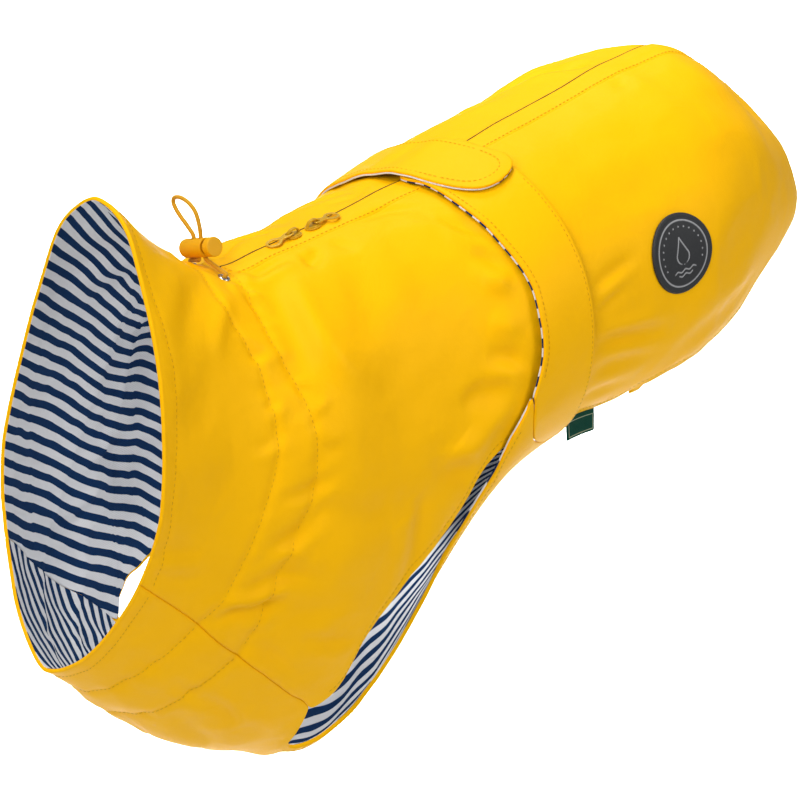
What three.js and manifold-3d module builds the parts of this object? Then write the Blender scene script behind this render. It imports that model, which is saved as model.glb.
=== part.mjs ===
// Dog raincoat, worn form with no wearer.
// Millimetres, +Z up. The dog faces -Y, its left side is +X. The origin is on
// the back line at the neck base, where the wearer's withers carry the coat.
import * as THREE from 'three';
import Module from 'manifold-3d';

const wasm = await Module();
wasm.setup();
const { Manifold, Mesh } = wasm;

// ---- cloth thicknesses and layer heights, measured outward from the form
const SHELL = 1.2;          // coated outer cloth
const LINING = 1.0;         // cotton lining
const GAP = 0.3;            // between layers and at seams
const LAYER = {             // outer face of each layer over the form
  cape: 0,
  capeLining: -(SHELL + GAP),
  placket: 1.3,
  bandLining: 2.8,
  band: 4.3,
  flapRise: 3.0,            // the far wing's flap lies on the near wing
  flapSettle: 0.6,          // and closer to the cape on the far side
};

// ---- the form: cross sections from the collar edge to the tail hem.
// top and bottom are points of the centre plane, half is the half width,
// wide is where down the section it is widest, roundT and roundB how full
// the upper and lower corners are, far scales the half width on the far side.
const STATIONS = [
  // name        yTop  zTop  yBot  zBot  half  wide  roundT roundB far
  ['collar',      -70,   56, -117, -192,  77,  0.56,  1.70,  1.55, 0.70],
  ['neck',        -31,   19,  -86, -222,  73,  0.52,  1.92,  1.83, 0.97],
  ['drawcord',      4,   -2,  -51, -256,  77,  0.48,  2.12,  1.96, 1.00],
  ['withers',      39,   -1,   -4, -282,  86,  0.44,  2.36,  2.15, 1.02],
  ['chest',        80,    3,   37, -293,  86,  0.44,  2.24,  2.13, 1.00],
  ['brisket',     124,    8,   92, -233,  89,  0.45,  2.19,  2.11, 1.00],
  ['bandFront',   154,   11,  137, -175,  95,  0.48,  2.26,  2.13, 1.00],
  ['bandRear',    190,   21,  192, -154,  97,  0.49,  2.12,  2.13, 1.00],
  ['loin',        264,   33,  245, -154,  97,  0.48,  2.07,  2.13, 1.00],
  ['rump',        313,   41,  288, -154,  98,  0.45,  2.03,  2.13, 1.00],
  ['rumpEnd',     364,   38,  339, -148,  84,  0.46,  1.85,  2.12, 1.00],
  ['croup',       424,  -16,  353, -128,  67,  0.46,  2.04,  2.13, 1.00],
  ['tailHem',     452,  -54,  341, -117,  52,  0.45,  2.20,  2.13, 1.00],
];
const END = STATIONS.length - 1;

// ---- edges on the form: u counts stations, q is the share of the way from
// the back line (0) to the belly line (1), near side and far side.
const CAPE_EDGE = {
  // u, q: side seam to the chest panel, then the cape's own lower hem
  near: [[0, .680], [.8, .676], [1.5, .686], [1.9, .696], [2.3, .715], [2.6, .737], [2.85, .756],
    [3.1, .770], [3.25, .780], [3.40, .765], [3.57, .735], [3.74, .655], [3.95, .622], [4.3, .606], [4.74, .612],
    [5.1, .600], [5.4, .582], [5.8, .602], [6.2, .630], [6.7, .685], [7.2, .735], [7.7, .752],
    [8.1, .728], [8.6, .712], [9.3, .705], [10, .675], [10.6, .635], [11.2, .59], [11.7, .54], [12, .47]],
  far: [[0, .740], [.8, .738], [1.5, .738], [1.9, .744], [2.2, .756], [2.45, .770], [2.58, .725],
    [2.75, .702], [2.97, .684], [3.25, .665], [3.6, .640], [4.1, .612], [4.74, .610],
    [5.1, .600], [5.4, .582], [5.8, .602], [6.2, .630], [6.7, .685], [7.2, .735], [7.7, .752],
    [8.1, .728], [8.6, .712], [9.3, .705], [10, .675], [10.6, .635], [11.2, .59], [11.7, .54], [12, .47]],
};
const BIB_EDGE = {
  // u, q: side seam, front of the leg opening, edge between the forelegs, band seam
  near: [[0, .680], [.8, .676], [1.5, .686], [1.9, .696], [2.3, .715], [2.6, .737], [2.85, .756],
    [3.1, .770], [3.22, .779], [3.34, .868], [3.5, .882], [3.7, .872], [3.95, .848], [4.25, .802], [4.5, .757],
    [4.7, .715], [4.9, .678], [5.2, .655], [5.44, .636], [5.58, .621], [5.7, .586], [5.8, .566], [5.93, .541], [6, .524],
    [6.1, .582], [6.25, .636], [6.45, .675], [6.65, .704], [6.85, .728], [7, .745]],
  far: [[0, .740], [.8, .738], [1.5, .738], [1.9, .744], [2.2, .756], [2.42, .769], [2.62, .800], [2.9, .836],
    [3.2, .865], [3.5, .880], [3.7, .872], [3.95, .848], [4.25, .802], [4.5, .757],
    [4.7, .715], [4.9, .678], [5.2, .655], [5.44, .636], [5.58, .621], [5.7, .586], [5.8, .566], [5.93, .541], [6, .524],
    [6.1, .582], [6.25, .636], [6.45, .675], [6.65, .704], [6.85, .728], [7, .745]],
};
const BIB_DROP = [[0, 0], [3.2, 0], [3.6, 1.5], [3.9, 3.2], [4.2, 5.2], [4.45, 5.2], [4.7, 3.4], [4.95, 2.2], [5.2, 2.1], [5.5, 3.0], [5.7, 4.0], [5.9, 4.3], [12, 4.3]];
const WING_FRONT = [[-.06, 5.80], [0, 5.66], [.036, 5.745], [.085, 5.78], [.146, 5.832], [.194, 5.91], [.234, 5.96], [.276, 6.035], [.311, 6.095],
  [.349, 6.13], [.389, 6.125], [.416, 6.135], [.447, 6.13], [.468, 6.108], [.492, 6.066], [.510, 6.03], [.524, 6]];
const WING_LIFT = [[0, 0], [.25, 0], [.40, 1.6], [.50, 1.8], [.58, .6], [1, 0]];
const BAND_REAR = 7;
const SEAM_U = [6, 6.1, 6.25, 6.45, 6.65, 6.85, 7];   // rows where the wings meet the bib
const FLAP = {
  // q past the back line (negative = far side), front u, rear u
  rows: [[-.42, 6.08, 7.00], [-.34, 6.00, 6.97], [-.27, 5.90, 6.92], [-.20, 5.76, 6.86], [-.15, 5.66, 6.83],
    [-.10, 5.60, 6.82], [-.055, 5.60, 6.84], [-.02, 5.62, 6.86], [.015, 5.70, 6.90], [.05, 5.79, 6.94], [.08, 5.90, 6.98],
    [.105, 6.02, 7.02], [.124, 6.15, 7.00], [.138, 6.30, 6.93], [.146, 6.46, 6.83], [.149, 6.58, 6.72]],
};

// ---- trims
const LOCK = { r: 5.2, barrel: 18.2, wall: 4.0, bore: 3.9, stem: 3.4, stemEnd: 8.0, headFrom: 20.4, headTo: 24.8,
  tiltDeg: 17.6, end: [-15.216, 0, 6.706] };
const CORD_R = 1.25;
const EYELET = { outer: 3.5, hole: 1.9, height: 1.0, apart: 26.6, u: 1.93 };
const BADGE = { u: 8.16, q: 0.426, radius: 22.5, thick: 1.6, lift: 0.6 };
const LABEL = { from: 7.22, to: 7.62, drop: 11.5, thick: 1.4 };
const TAB = { length: 17 };

// ---- smooth tables
const lerp = (a, b, t) => a + (b - a) * t;
function table(rows, x, col = 1) {
  if (x <= rows[0][0]) return rows[0][col];
  for (let i = 1; i < rows.length; i++) {
    if (x <= rows[i][0]) return lerp(rows[i - 1][col], rows[i][col], (x - rows[i - 1][0]) / (rows[i][0] - rows[i - 1][0]));
  }
  return rows[rows.length - 1][col];
}
function column(k, u) {
  const g = (i) => STATIONS[Math.min(Math.max(i, 0), END)][k];
  const i = Math.min(Math.max(Math.floor(u), 0), END - 1), f = u - i;
  const p1 = g(i), p2 = g(i + 1);
  const p0 = i > 0 ? g(i - 1) : 2 * p1 - p2;
  const p3 = i + 2 <= END ? g(i + 2) : 2 * p2 - p1;
  return 0.5 * (2 * p1 + (p2 - p0) * f + (2 * p0 - 5 * p1 + 4 * p2 - p3) * f * f + (-p0 + 3 * p1 - 3 * p2 + p3) * f ** 3);
}

// ---- a half section as an arc-length curve from back line to belly line
const STEPS = 48;
const cache = new Map();
function section(u, far) {
  const key = `${u.toFixed(5)}${far ? 'f' : 'n'}`;
  if (cache.has(key)) return cache.get(key);
  const [, yT, zT, yB, zB, w0, m, nT, nB, fs] = [0, 1, 2, 3, 4, 5, 6, 7, 8, 9].map((k) => (k ? column(k, u) : 0));
  const w = w0 * (far ? fs : 1);
  const pts = [];
  for (let i = 0; i <= STEPS; i++) {
    const t = Math.PI * i / STEPS, top = i <= STEPS / 2, n = top ? nT : nB;
    const s = Math.pow(Math.max(Math.sin(t), 0), 2 / n), c = Math.pow(Math.abs(Math.cos(t)), 2 / n);
    const a = top ? m * (1 - c) : m + (1 - m) * c;
    pts.push([w * s, lerp(yT, yB, a), lerp(zT, zB, a)]);
  }
  const run = [0];
  for (let i = 1; i <= STEPS; i++) run.push(run[i - 1] + Math.hypot(...[0, 1, 2].map((k) => pts[i][k] - pts[i - 1][k])));
  const out = { pts, run };
  cache.set(key, out);
  return out;
}
// point of the form; q runs past 1 onto the other side of the belly line
function formPoint(u, q) {
  let far = q < 0, a = Math.abs(q);
  if (a > 1) { a = 2 - a; far = !far; }
  const { pts, run } = section(u, far);
  const s = a * run[STEPS];
  let i = 1;
  while (i < STEPS && run[i] < s) i++;
  const f = (s - run[i - 1]) / (run[i] - run[i - 1] || 1);
  const p = [0, 1, 2].map((k) => lerp(pts[i - 1][k], pts[i][k], f));
  if (far) p[0] = -p[0];
  return new THREE.Vector3(...p);
}
function formNormal(u, q) {
  const du = 0.04, dq = 0.012;
  const a = formPoint(Math.min(u + du, END), q).sub(formPoint(Math.max(u - du, 0), q));
  const b = formPoint(u, q + dq).sub(formPoint(u, q - dq));
  return b.cross(a).normalize();
}
const at = (u, q, out) => formPoint(u, q).addScaledVector(formNormal(u, q), out);

// ---- meshes
function solid(name, geometry, colour, roughness = 0.55, metalness = 0) {
  const mesh = new THREE.Mesh(geometry, new THREE.MeshStandardMaterial({ color: colour, roughness, metalness }));
  mesh.name = name;
  return mesh;
}
// closed wall between an outer and an inner grid of points, both [row][col]
function wall(outer, inner) {
  const R = outer.length, C = outer[0].length, pos = [], idx = [];
  const put = (grid) => { for (const row of grid) for (const p of row) pos.push(p.x, p.y, p.z); };
  put(outer); put(inner);
  const o = (r, c) => r * C + c, n = (r, c) => R * C + r * C + c;
  const quad = (a, b, c, d) => idx.push(a, b, c, a, c, d);
  for (let r = 0; r < R - 1; r++) {
    for (let c = 0; c < C - 1; c++) {
      quad(o(r, c), o(r, c + 1), o(r + 1, c + 1), o(r + 1, c));
      quad(n(r, c), n(r + 1, c), n(r + 1, c + 1), n(r, c + 1));
    }
  }
  for (let c = 0; c < C - 1; c++) {
    quad(o(0, c), n(0, c), n(0, c + 1), o(0, c + 1));
    quad(o(R - 1, c), o(R - 1, c + 1), n(R - 1, c + 1), n(R - 1, c));
  }
  for (let r = 0; r < R - 1; r++) {
    quad(o(r, 0), o(r + 1, 0), n(r + 1, 0), n(r, 0));
    quad(o(r, C - 1), n(r, C - 1), n(r + 1, C - 1), o(r + 1, C - 1));
  }
  const g = new THREE.BufferGeometry();
  g.setAttribute('position', new THREE.Float32BufferAttribute(pos, 3));
  g.setIndex(idx);
  if (volume(g) < 0) {
    const a = g.index.array;
    for (let i = 0; i < a.length; i += 3) { const t = a[i + 1]; a[i + 1] = a[i + 2]; a[i + 2] = t; }
  }
  return g;
}
function volume(g) {
  const p = g.attributes.position, ix = g.index.array;
  const a = new THREE.Vector3(), b = new THREE.Vector3(), c = new THREE.Vector3();
  let v = 0;
  for (let i = 0; i < ix.length; i += 3) {
    a.fromBufferAttribute(p, ix[i]); b.fromBufferAttribute(p, ix[i + 1]); c.fromBufferAttribute(p, ix[i + 2]);
    v += a.dot(b.cross(c));
  }
  return v / 6;
}
// a piece of cloth: uv(r, c) gives u, q and outward lift of its outer face
function cloth(rows, cols, uv, thick) {
  const outer = [], inner = [];
  for (let r = 0; r <= rows; r++) {
    const a = [], b = [];
    for (let c = 0; c <= cols; c++) {
      const [u, q, lift] = uv(r / rows, c / cols);
      const p = formPoint(u, q), n = formNormal(u, q);
      a.push(p.clone().addScaledVector(n, lift));
      b.push(p.clone().addScaledVector(n, lift - thick));
    }
    outer.push(a); inner.push(b);
  }
  return wall(outer, inner);
}
const spread = (list, t) => {            // even walk through a list of stations
  const k = t * (list.length - 1), i = Math.min(Math.floor(k), list.length - 2);
  return lerp(list[i], list[i + 1], k - i);
};
const seam = (u) => {                    // 0.3 mm as a share of the half section
  const { run } = section(u, false);
  return GAP / run[STEPS];
};

const YELLOW = 0xf2bb05, LINE = 0xb9bac2, group = new THREE.Group();

// cape: two halves that meet on the back line, collar in one with them
const CAPE_ROWS = [0, .35, .8, 1.5, 1.9, 2.3, 2.6, 3.1, 3.25, 3.57, 3.74, 4.1, 4.74, 5.4, 6.0, 6.6, 7.2, 7.7, 8.2, 8.7, 9.2, 9.7, 10.2, 10.7, 11.3, 12];
const CAPE_ROWS_FAR = [0, .35, .8, 1.5, 1.9, 2.3, 2.45, 2.58, 2.97, 3.6, 4.1, 4.74, 5.4, 6.0, 6.6, 7.2, 7.7, 8.2, 8.7, 9.2, 9.7, 10.2, 10.7, 11.3, 12];
const CAPE_COLS = 12;
function capeHalf(side, thick, lift) {
  const s = side === 'near' ? 1 : -1, list = side === 'near' ? CAPE_ROWS : CAPE_ROWS_FAR;
  return cloth(list.length - 1, CAPE_COLS, (a, b) => {
    const u = spread(list, a);
    const q = lerp(seam(u) * 0.5, table(CAPE_EDGE[side], u) - seam(u) * 0.5, b);
    return [u, s * q, lift];
  }, thick);
}
group.add(solid('cape_left', capeHalf('near', SHELL, LAYER.cape), YELLOW));
group.add(solid('cape_right', capeHalf('far', SHELL, LAYER.cape), YELLOW));
group.add(solid('cape_lining_left', capeHalf('near', LINING, LAYER.capeLining), LINE, 0.9));
group.add(solid('cape_lining_right', capeHalf('far', LINING, LAYER.capeLining), LINE, 0.9));

// chest panel and bib: side seam to side seam under the throat and belly
const BIB_ROWS = [0, .35, .8, 1.5, 1.9, 2.3, 2.6, 3.1, 3.22, 3.34, 3.6, 3.9, 4.2, 4.45, 4.7, 4.9, 5.2, 5.44, 5.58, 5.7, 5.8, 5.93, ...SEAM_U];
function bib(thick, under) {
  return cloth(BIB_ROWS.length - 1, 14, (a, b) => {
    const u = spread(BIB_ROWS, a);
    const qn = table(BIB_EDGE.near, u) + seam(u) * 0.5, qf = table(BIB_EDGE.far, u) + seam(u) * 0.5;
    return [u, lerp(qn, 2 - qf, b), table(BIB_DROP, u) - under];
  }, thick);
}
group.add(solid('chest_bib', bib(SHELL, 0), YELLOW));
group.add(solid('chest_bib_lining', bib(LINING, SHELL + GAP), LINE, 0.9));

// band: near wing up to the back line, far wing over it with the flap
function nearWing(thick, lift) {
  const q0 = -0.012;
  return cloth(SEAM_U.length - 1, 20, (a, b) => {
    const us = spread(SEAM_U, a), f = (us - SEAM_U[0]) / (BAND_REAR - SEAM_U[0]);
    const q = lerp(q0, table(BIB_EDGE.near, us) - seam(6.5), b);
    const u = lerp(lerp(table(WING_FRONT, q), SEAM_U[0], b > 0.999 ? 1 : 0), BAND_REAR, f);
    return [u, q, lift + table(WING_LIFT, q) * (1 - f)];
  }, thick);
}
group.add(solid('band_wing_left', nearWing(SHELL, LAYER.band), YELLOW));
group.add(solid('band_wing_left_lining', nearWing(LINING, LAYER.bandLining), LINE, 0.9));
function farWing(thick, lift) {
  const low = 5, rows = FLAP.rows, R = low + rows.length - 1;
  return cloth(R, SEAM_U.length - 1, (a, b) => {
    const r = Math.round(a * R), row = rows[Math.max(r - low, 0)];
    const us = spread(SEAM_U, b), u = lerp(row[1], row[2], (us - SEAM_U[0]) / (BAND_REAR - SEAM_U[0]));
    let q = row[0];
    if (r < low) q = lerp(-table(BIB_EDGE.far, us) + seam(6.5), rows[0][0], r / low);
    const ss = THREE.MathUtils.smoothstep;
    const rise = LAYER.flapRise * ss(q, -0.08, -0.02) - LAYER.flapSettle * ss(q, -0.60, -0.48) * (1 - ss(q, -0.17, -0.09));
    return [r < low ? lerp(us, u, r / low) : u, q, lift + rise];
  }, thick);
}
group.add(solid('band_wing_right', farWing(SHELL, LAYER.band), YELLOW));
group.add(solid('band_wing_right_lining', farWing(LINING, LAYER.bandLining), LINE, 0.9));


// ---- zip placket: the near half's folded edge strip beside the zip line
const PLACKET_ROWS = [2.17, 2.3, 2.6, 3.1, 3.25, 3.57, 3.74, 4.1, 4.74, 5.4, 6.0, 6.6, 7.2, 7.7, 8.2, 8.7, 9.2, 9.7, 10.2, 10.7, 11.3, 12];
const PLACKET_WIDE = 11.5;
group.add(solid('zip_placket', cloth(PLACKET_ROWS.length - 1, 1, (a, b) => {
  const u = spread(PLACKET_ROWS, a), wide = PLACKET_WIDE * (a === 0 ? 0.55 : 1);
  return [u, lerp(seam(u) * 0.5, wide / section(u, false).run[STEPS], b), LAYER.placket + (a === 0 ? 0.3 : 0)];
}, 1.0), YELLOW));

// ---- hard trims
// local frame on the form: along the body, across, and outward
function frameAt(u, q) {
  const o = formPoint(u, q), n = formNormal(u, q);
  const along = formPoint(u + 0.05, q).sub(formPoint(u - 0.05, q));
  along.addScaledVector(n, -along.dot(n)).normalize();
  return { o, n, along, across: along.clone().cross(n).normalize() };
}
function place(geometry, o, x, y, z) {
  const g = geometry.index ? geometry.toNonIndexed() : geometry.clone();
  const flip = x.clone().cross(y).dot(z) < 0;
  if (flip) throw new Error('left-handed frame');
  return g.applyMatrix4(new THREE.Matrix4().makeBasis(x, y, z).setPosition(o));
}
// welded copy of a geometry as a manifold, and back
function toManifold(geometry) {
  const p = geometry.attributes.position, ix = geometry.index, V = [], T = [], seen = new Map(), id = [];
  for (let i = 0; i < p.count; i++) {
    const key = [p.getX(i), p.getY(i), p.getZ(i)].map((v) => Math.round(v * 2000)).join();
    if (!seen.has(key)) { seen.set(key, V.length / 3); V.push(p.getX(i), p.getY(i), p.getZ(i)); }
    id.push(seen.get(key));
  }
  const n = ix ? ix.count : p.count, at3 = (k) => id[ix ? ix.getX(k) : k];
  for (let i = 0; i < n; i += 3) {
    const [a, b, c] = [at3(i), at3(i + 1), at3(i + 2)];
    if (a !== b && b !== c && a !== c) T.push(a, b, c);
  }
  return new Manifold(new Mesh({ numProp: 3, vertProperties: new Float32Array(V), triVerts: new Uint32Array(T) }));
}
function fromManifold(man) {
  const m = man.getMesh(), pos = [];
  for (const t of m.triVerts) pos.push(m.vertProperties[t * m.numProp], m.vertProperties[t * m.numProp + 1], m.vertProperties[t * m.numProp + 2]);
  const g = new THREE.BufferGeometry();
  g.setAttribute('position', new THREE.Float32BufferAttribute(pos, 3));
  return g;
}
const block = (x0, x1, y0, y1, z0, z1) => new THREE.BoxGeometry(x1 - x0, y1 - y0, z1 - z0).translate((x0 + x1) / 2, (y0 + y1) / 2, (z0 + z1) / 2);

// sliders back to back, each with a pull tab that hinges on its bridge.
// Local axes: x across, y towards the tab's tip, z outward.
const SLIDER_BASE = 1.6, PIN = { y: 1.2, z: 2.5 }, TAB_TILT = 6 * Math.PI / 180;
function sliderBody() {
  const body = toManifold(block(-3.5, 3.5, -5, 4, 0, 1.4));
  const back = toManifold(block(-0.8, 0.8, -3.9, -2.9, 1.2, 4.4));
  const front = toManifold(block(-0.8, 0.8, 2.5, 3.5, 1.2, 4.4));
  const bar = toManifold(block(-0.8, 0.8, -3.9, 3.5, 3.5, 4.4));
  return fromManifold(body.add(back).add(front).add(bar));
}
function pullTab() {
  const t = 0.45, shape = new THREE.Shape(), R = 4.3, tip = TAB.length - R;
  shape.moveTo(-2.3, -0.5); shape.lineTo(2.3, -0.5); shape.lineTo(2.3, 4.6); shape.lineTo(1.9, 7.2); shape.lineTo(R, 10.4);
  for (let i = 0; i <= 8; i++) { const a = Math.PI * i / 8; shape.lineTo(R * Math.cos(a), tip + R * Math.sin(a)); }
  shape.lineTo(-R, 10.4); shape.lineTo(-1.9, 7.2); shape.lineTo(-2.3, 4.6);
  const eye = new THREE.Path();
  eye.moveTo(-1.25, 0.5); eye.lineTo(-1.25, 3.6); eye.lineTo(1.25, 3.6); eye.lineTo(1.25, 0.5);
  const ring = new THREE.Path(), r = R - 1.7;
  ring.moveTo(-r, 11.6);
  for (let i = 8; i >= 0; i--) { const a = Math.PI * i / 8; ring.lineTo(r * Math.cos(a), tip + r * Math.sin(a)); }
  ring.lineTo(r, 11.6);
  shape.holes.push(eye, ring);
  const g = new THREE.ExtrudeGeometry(shape, { depth: 2 * t, bevelEnabled: false, steps: 1 }).translate(0, 0, -t);
  return g.rotateX(-TAB_TILT).translate(0, PIN.y, PIN.z);
}
const SLIDERS = { front: { u: 3.52, to: -1 }, rear: { u: 3.86, to: 1 } };
for (const [name, s] of Object.entries(SLIDERS)) {
  const f = frameAt(s.u, 0.006), y = f.along.clone().multiplyScalar(s.to), x = y.clone().cross(f.n);
  const o = f.o.clone().addScaledVector(f.n, SLIDER_BASE);
  group.add(solid(`zip_slider_${name}`, place(sliderBody(), o, x, y, f.n), 0xe0a410, 0.4));
  group.add(solid(`pull_tab_${name}`, place(pullTab(), o, x, y, f.n), 0xe0a410, 0.4));
}

// eyelets either side of the back line, in the drawcord channel
function ringProfile(outer, hole, h) {
  return new THREE.LatheGeometry([[hole, 0], [outer, 0], [outer - 0.25, h * 0.6], [outer - 0.9, h], [hole + 0.35, h], [hole, h * 0.6], [hole, 0]]
        .map(([a, b]) => new THREE.Vector2(a, b)), 12);
}
const eyeletAt = {};
for (const [name, s] of [['left', 1], ['right', -1]]) {
  const q = s * EYELET.apart / 2 / section(EYELET.u, s < 0).run[STEPS];
  const f = frameAt(EYELET.u, q);
  eyeletAt[name] = f;
  const o = f.o.clone().addScaledVector(f.n, 0.35);
  group.add(solid(`eyelet_${name}`, place(ringProfile(EYELET.outer, EYELET.hole, EYELET.height), o, f.across, f.n, f.along.clone().negate()), 0xc9c9c9, 0.3, 0.9));
}

// barrel cord lock: hollow barrel, sprung plunger in it
const lockAxis = new THREE.Vector3(Math.cos(LOCK.tiltDeg * Math.PI / 180), 0, Math.sin(LOCK.tiltDeg * Math.PI / 180));
const lockUp = new THREE.Vector3(-lockAxis.z, 0, lockAxis.x);
const lockEnd = new THREE.Vector3(...LOCK.end);
const lathe = (rows, n = 16) => new THREE.LatheGeometry(rows.map(([a, b]) => new THREE.Vector2(a, b)), n);
const barrel = lathe([[0, 0], [LOCK.r - 1.1, 0], [LOCK.r - 0.3, 0.35], [LOCK.r, 1.1], [LOCK.r, LOCK.barrel], [LOCK.bore, LOCK.barrel], [LOCK.bore, LOCK.wall], [0, LOCK.wall]]);
const plunger = lathe([[0, LOCK.stemEnd], [LOCK.stem, LOCK.stemEnd], [LOCK.stem, LOCK.headFrom], [LOCK.r - 0.2, LOCK.headFrom],
  [LOCK.r, LOCK.headFrom + 0.4], [LOCK.r, LOCK.headTo - 0.8], [LOCK.r - 0.7, LOCK.headTo], [0, LOCK.headTo]]);
const lockSide = lockUp.clone().cross(lockAxis);
for (const [name, g] of [['cord_lock_barrel', barrel], ['cord_lock_plunger', plunger]]) {
  group.add(solid(name, place(g, lockEnd, lockUp, lockAxis, lockSide), 0xe3a008, 0.45));
}
const lockPoint = (s, h) => lockEnd.clone().addScaledVector(lockAxis, s).addScaledVector(lockUp, h);
const HOLES = [9, 14.9];               // where the cord goes through, from the closed end

// cord: two legs out of the eyelets into the lock, one loop above it
function tube(points, radius, steps) {
  const ring = new THREE.Shape();
  for (let i = 0; i < 8; i++) { const a = Math.PI * 2 * i / 8; ring[i ? 'lineTo' : 'moveTo'](radius * Math.cos(a), radius * Math.sin(a)); }
  ring.closePath();
  return new THREE.ExtrudeGeometry(ring, { steps, bevelEnabled: false, extrudePath: new THREE.CatmullRomCurve3(points, false, 'centripetal') });
}
const legFar = [1.9, 2.6].map((h) => eyeletAt.right.o.clone().addScaledVector(eyeletAt.right.n, h)).concat([lockPoint(HOLES[0], -LOCK.r - 1.3), lockPoint(HOLES[0], -LOCK.r - 0.5)]);
const legNear = [1.9, 2.6].map((h) => eyeletAt.left.o.clone().addScaledVector(eyeletAt.left.n, h)).concat([lockPoint(HOLES[1], -LOCK.r - 1.5), lockPoint(HOLES[1], -LOCK.r - 0.5)]);
group.add(solid('drawcord_leg_right', tube(legFar, CORD_R, 6), 0xe3a012, 0.8));
group.add(solid('drawcord_leg_left', tube(legNear, CORD_R, 7), 0xe3a012, 0.8));
const LOOP = [ // x, z of the loop in the plane of the lock
  [-9.2, 16.6], [-11.8, 18.6], [-15.1, 21.2], [-18.6, 23.6], [-22.0, 26.6], [-24.0, 29.6], [-23.6, 32.2], [-21.2, 33.6], [-17.6, 34.1],
  [-13.6, 33.5], [-10.0, 32.0], [-7.2, 30.0], [-5.4, 27.4], [-4.0, 23.8], [-3.1, 20.2]];
group.add(solid('drawcord_loop', tube([lockPoint(HOLES[0], LOCK.r + 0.6), ...LOOP.map(([x, z]) => new THREE.Vector3(x, 0, z)), lockPoint(HOLES[1], LOCK.r + 0.6)], CORD_R, 20), 0xe3a012, 0.8));

// badge: a round rubber patch bent to the panel
function findOnForm(f, u0, q0, x, y) {   // form point at tangent-plane distances x, y
  let u = u0, q = q0;
  for (let k = 0; k < 6; k++) {
    const p = formPoint(u, q).sub(f.o), e = [x - p.dot(f.along), y - p.dot(f.across)];
    const pu = formPoint(u + 0.02, q).sub(formPoint(u - 0.02, q)).multiplyScalar(25), pq = formPoint(u, q + 0.004).sub(formPoint(u, q - 0.004)).multiplyScalar(125);
    const a = pu.dot(f.along), b = pq.dot(f.along), c = pu.dot(f.across), d = pq.dot(f.across), det = a * d - b * c;
    u += (e[0] * d - b * e[1]) / det; q += (a * e[1] - c * e[0]) / det;
  }
  return [u, q];
}
{
  const f = frameAt(BADGE.u, BADGE.q), N = 24;
  const pos = [], idx = [], ring = (r, lift) => {
    const start = pos.length / 3;
    for (let i = 0; i < N; i++) {
      const t = 2 * Math.PI * i / N, [u, q] = findOnForm(f, BADGE.u, BADGE.q, r * BADGE.radius * Math.cos(t), r * BADGE.radius * Math.sin(t));
      const p = at(u, q, lift);
      pos.push(p.x, p.y, p.z);
    }
    return start;
  };
  const top = [0.5, 1].map((r) => ring(r, BADGE.lift + BADGE.thick)), bottom = [0.5, 1].map((r) => ring(r, BADGE.lift));
  const centre = (lift) => { const p = at(BADGE.u, BADGE.q, lift); pos.push(p.x, p.y, p.z); return pos.length / 3 - 1; };
  const ct = centre(BADGE.lift + BADGE.thick), cb = centre(BADGE.lift), next = (i) => (i + 1) % N;
  const band = (a, b) => { for (let i = 0; i < N; i++) idx.push(a + i, b + i, b + next(i), a + i, b + next(i), a + next(i)); };
  for (let i = 0; i < N; i++) idx.push(ct, top[0] + i, top[0] + next(i));
  band(top[0], top[1]); band(top[1], bottom[1]); band(bottom[1], bottom[0]);
  for (let i = 0; i < N; i++) idx.push(cb, bottom[0] + next(i), bottom[0] + i);
  const g = new THREE.BufferGeometry();
  g.setAttribute('position', new THREE.Float32BufferAttribute(pos, 3)); g.setIndex(idx);
  if (volume(g) < 0) for (let i = 0; i < idx.length; i += 3) { const t = idx[i + 1]; idx[i + 1] = idx[i + 2]; idx[i + 2] = t; }
  g.setIndex(idx);
  group.add(solid('badge', g, 0x26282a, 0.7));
}

// side label and hem nub: folded strips caught in the near hem, hanging below it
function hemPiece(u0, u1, drop, thick, cols) {
  const outer = [], inner = [];
  for (let r = 0; r <= 2; r++) {
    const a = [], b = [];
    for (let c = 0; c <= cols; c++) {
      const u = lerp(u0, u1, c / cols), qe = table(CAPE_EDGE.near, u);
      const p = formPoint(u, qe), n = formNormal(u, qe);
      const down = formPoint(u, qe + 0.01).sub(formPoint(u, qe)).normalize();
      const o = p.addScaledVector(down, 1.0).addScaledVector(n, -0.1);
      const side = new THREE.Vector3(n.x, n.y, 0).normalize();
      o.z -= 0.2 + drop * r / 2;
      a.push(o.clone()); b.push(o.clone().addScaledVector(side, -thick));
    }
    outer.push(a); inner.push(b);
  }
  return wall(outer, inner);
}
group.add(solid('side_label', hemPiece(LABEL.from, LABEL.to, LABEL.drop, LABEL.thick, 3), 0x0d4a3c, 0.8));
group.add(solid('hem_nub', hemPiece(8.12, 8.26, 4.0, 2.0, 1), 0xd9a40c, 0.8));

export default group;
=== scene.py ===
"""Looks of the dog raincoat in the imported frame. Form tables are in millimetres, objects in metres."""
import bpy
import math
import numpy as np
from mathutils import Matrix, Vector


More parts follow.
